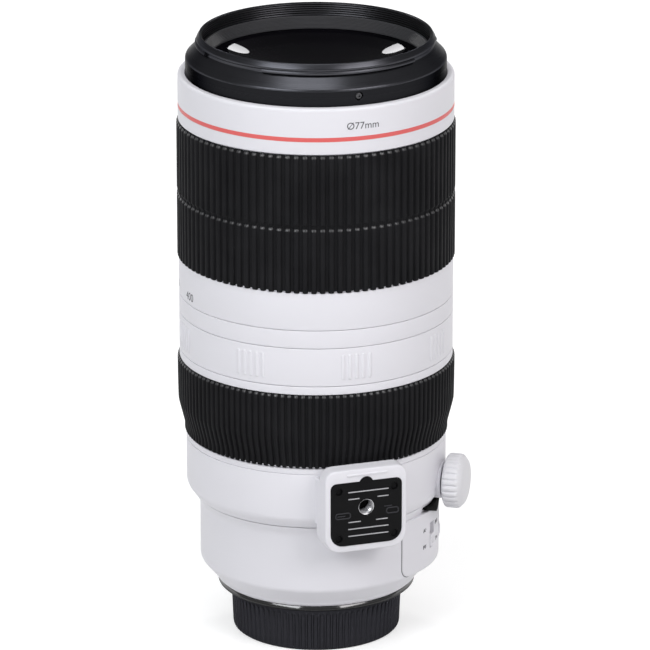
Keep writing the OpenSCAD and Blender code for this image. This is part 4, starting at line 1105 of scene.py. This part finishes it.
AMBIENT = 0.29
FLOOR_GREY = 0.68
FLOOR_GLOW = 0.9
FLOOR_NEAR = 0.578
FADE_FROM = 0.7
FADE_OVER = 0.8
AIM_HEIGHT = 0.11
FLOOR_RINGS = ((3300, -0.02), (3700, 60), (3900, 220), (4000, 760))
# Name, azimuth, rise, distance, width, height, watts and colour of each lamp; sizes in metres
LAMPS = (
    ("key_box", -56, 35, 1.8, 1.0, 0.75, 14.4, (0.96, 0.98, 1.0)),
    ("fill_box", 27, 34, 1.8, 1.0, 0.75, 12.8, (1.0, 0.975, 0.98)),
    ("top_box", -32, 70, 1.8, 1.1, 0.6, 7.5, (0.98, 0.99, 1.0)),
    ("left_gleam", 140.5, 37.5, 1.6, 0.17, 0.22, 2.8, grey(1.0)),
    ("right_gleam", 181.5, 37.5, 1.6, 0.17, 0.22, 2.8, grey(1.0)),
)


def seen_rays(finish):
    """One for rays that look at the floor, straight on or by way of gloss or glass."""
    path = finish.node("ShaderNodeLightPath", {}, {}).socket.node.outputs
    names = ("Is Camera Ray", "Is Glossy Ray", "Is Transmission Ray")
    straight, gloss, through = (Tone(finish, path[name]) for name in names)
    return straight.highest(gloss).highest(through)


def studio():
    """Even surround, pale floor that rises at its far edge, and soft lamps."""
    world = bpy.data.worlds.new("surround")
    bpy.context.scene.world = world
    sky = Finish(world)
    light = sky.node("ShaderNodeBackground", {}, {"Color": grey(1.0), "Strength": AMBIENT})
    sky.node("ShaderNodeOutputWorld", {}, {"Surface": light})

    ground = material("pale_floor")
    plain = ground.node("ShaderNodeBsdfDiffuse", {}, {"Color": grey(FLOOR_GREY)})
    fade = ((ground.reach()[0] - FADE_FROM) * (1 / FADE_OVER)).highest(0.0)
    glow = ground.node("ShaderNodeEmission", {}, {
        "Color": ground.mix(fade, grey(FLOOR_NEAR), grey(1.0)),
        "Strength": FLOOR_GLOW * seen_rays(ground)})
    both = ground.node("ShaderNodeAddShader", {}, {0: plain, 1: glow})
    ground.node("ShaderNodeOutputMaterial", {}, {"Surface": both})
    verts, faces = woven([[polar(r, 5 * i, z) for i in range(72)] for r, z in FLOOR_RINGS], False)
    floor = mesh_object("floor", (verts, faces[:-1]))
    floor.data.materials.append(ground.material)

    aim = Vector((0, 0, AIM_HEIGHT))
    for name, az, rise, far, wide, tall, power, colour in LAMPS:
        data = bpy.data.lights.new(name, "AREA")
        data.shape = "ELLIPSE" if "gleam" in name else "RECTANGLE"
        data.size = wide
        data.size_y = tall
        data.energy = power
        data.color = colour
        lamp = placed(name, data)
        flat = far * cos(radians(rise))
        lamp.location = aim + Vector(polar(flat, az, far * sin(radians(rise))))
        lamp.rotation_euler = (aim - lamp.location).to_track_quat("-Z", "Y").to_euler()


front_group()
zoom_group()
middle_rings()
collar_group()
knob_group()
rear_group()
dress_inner_nodes()
camera()
studio()
bpy.context.scene.view_settings.view_transform = "Standard"
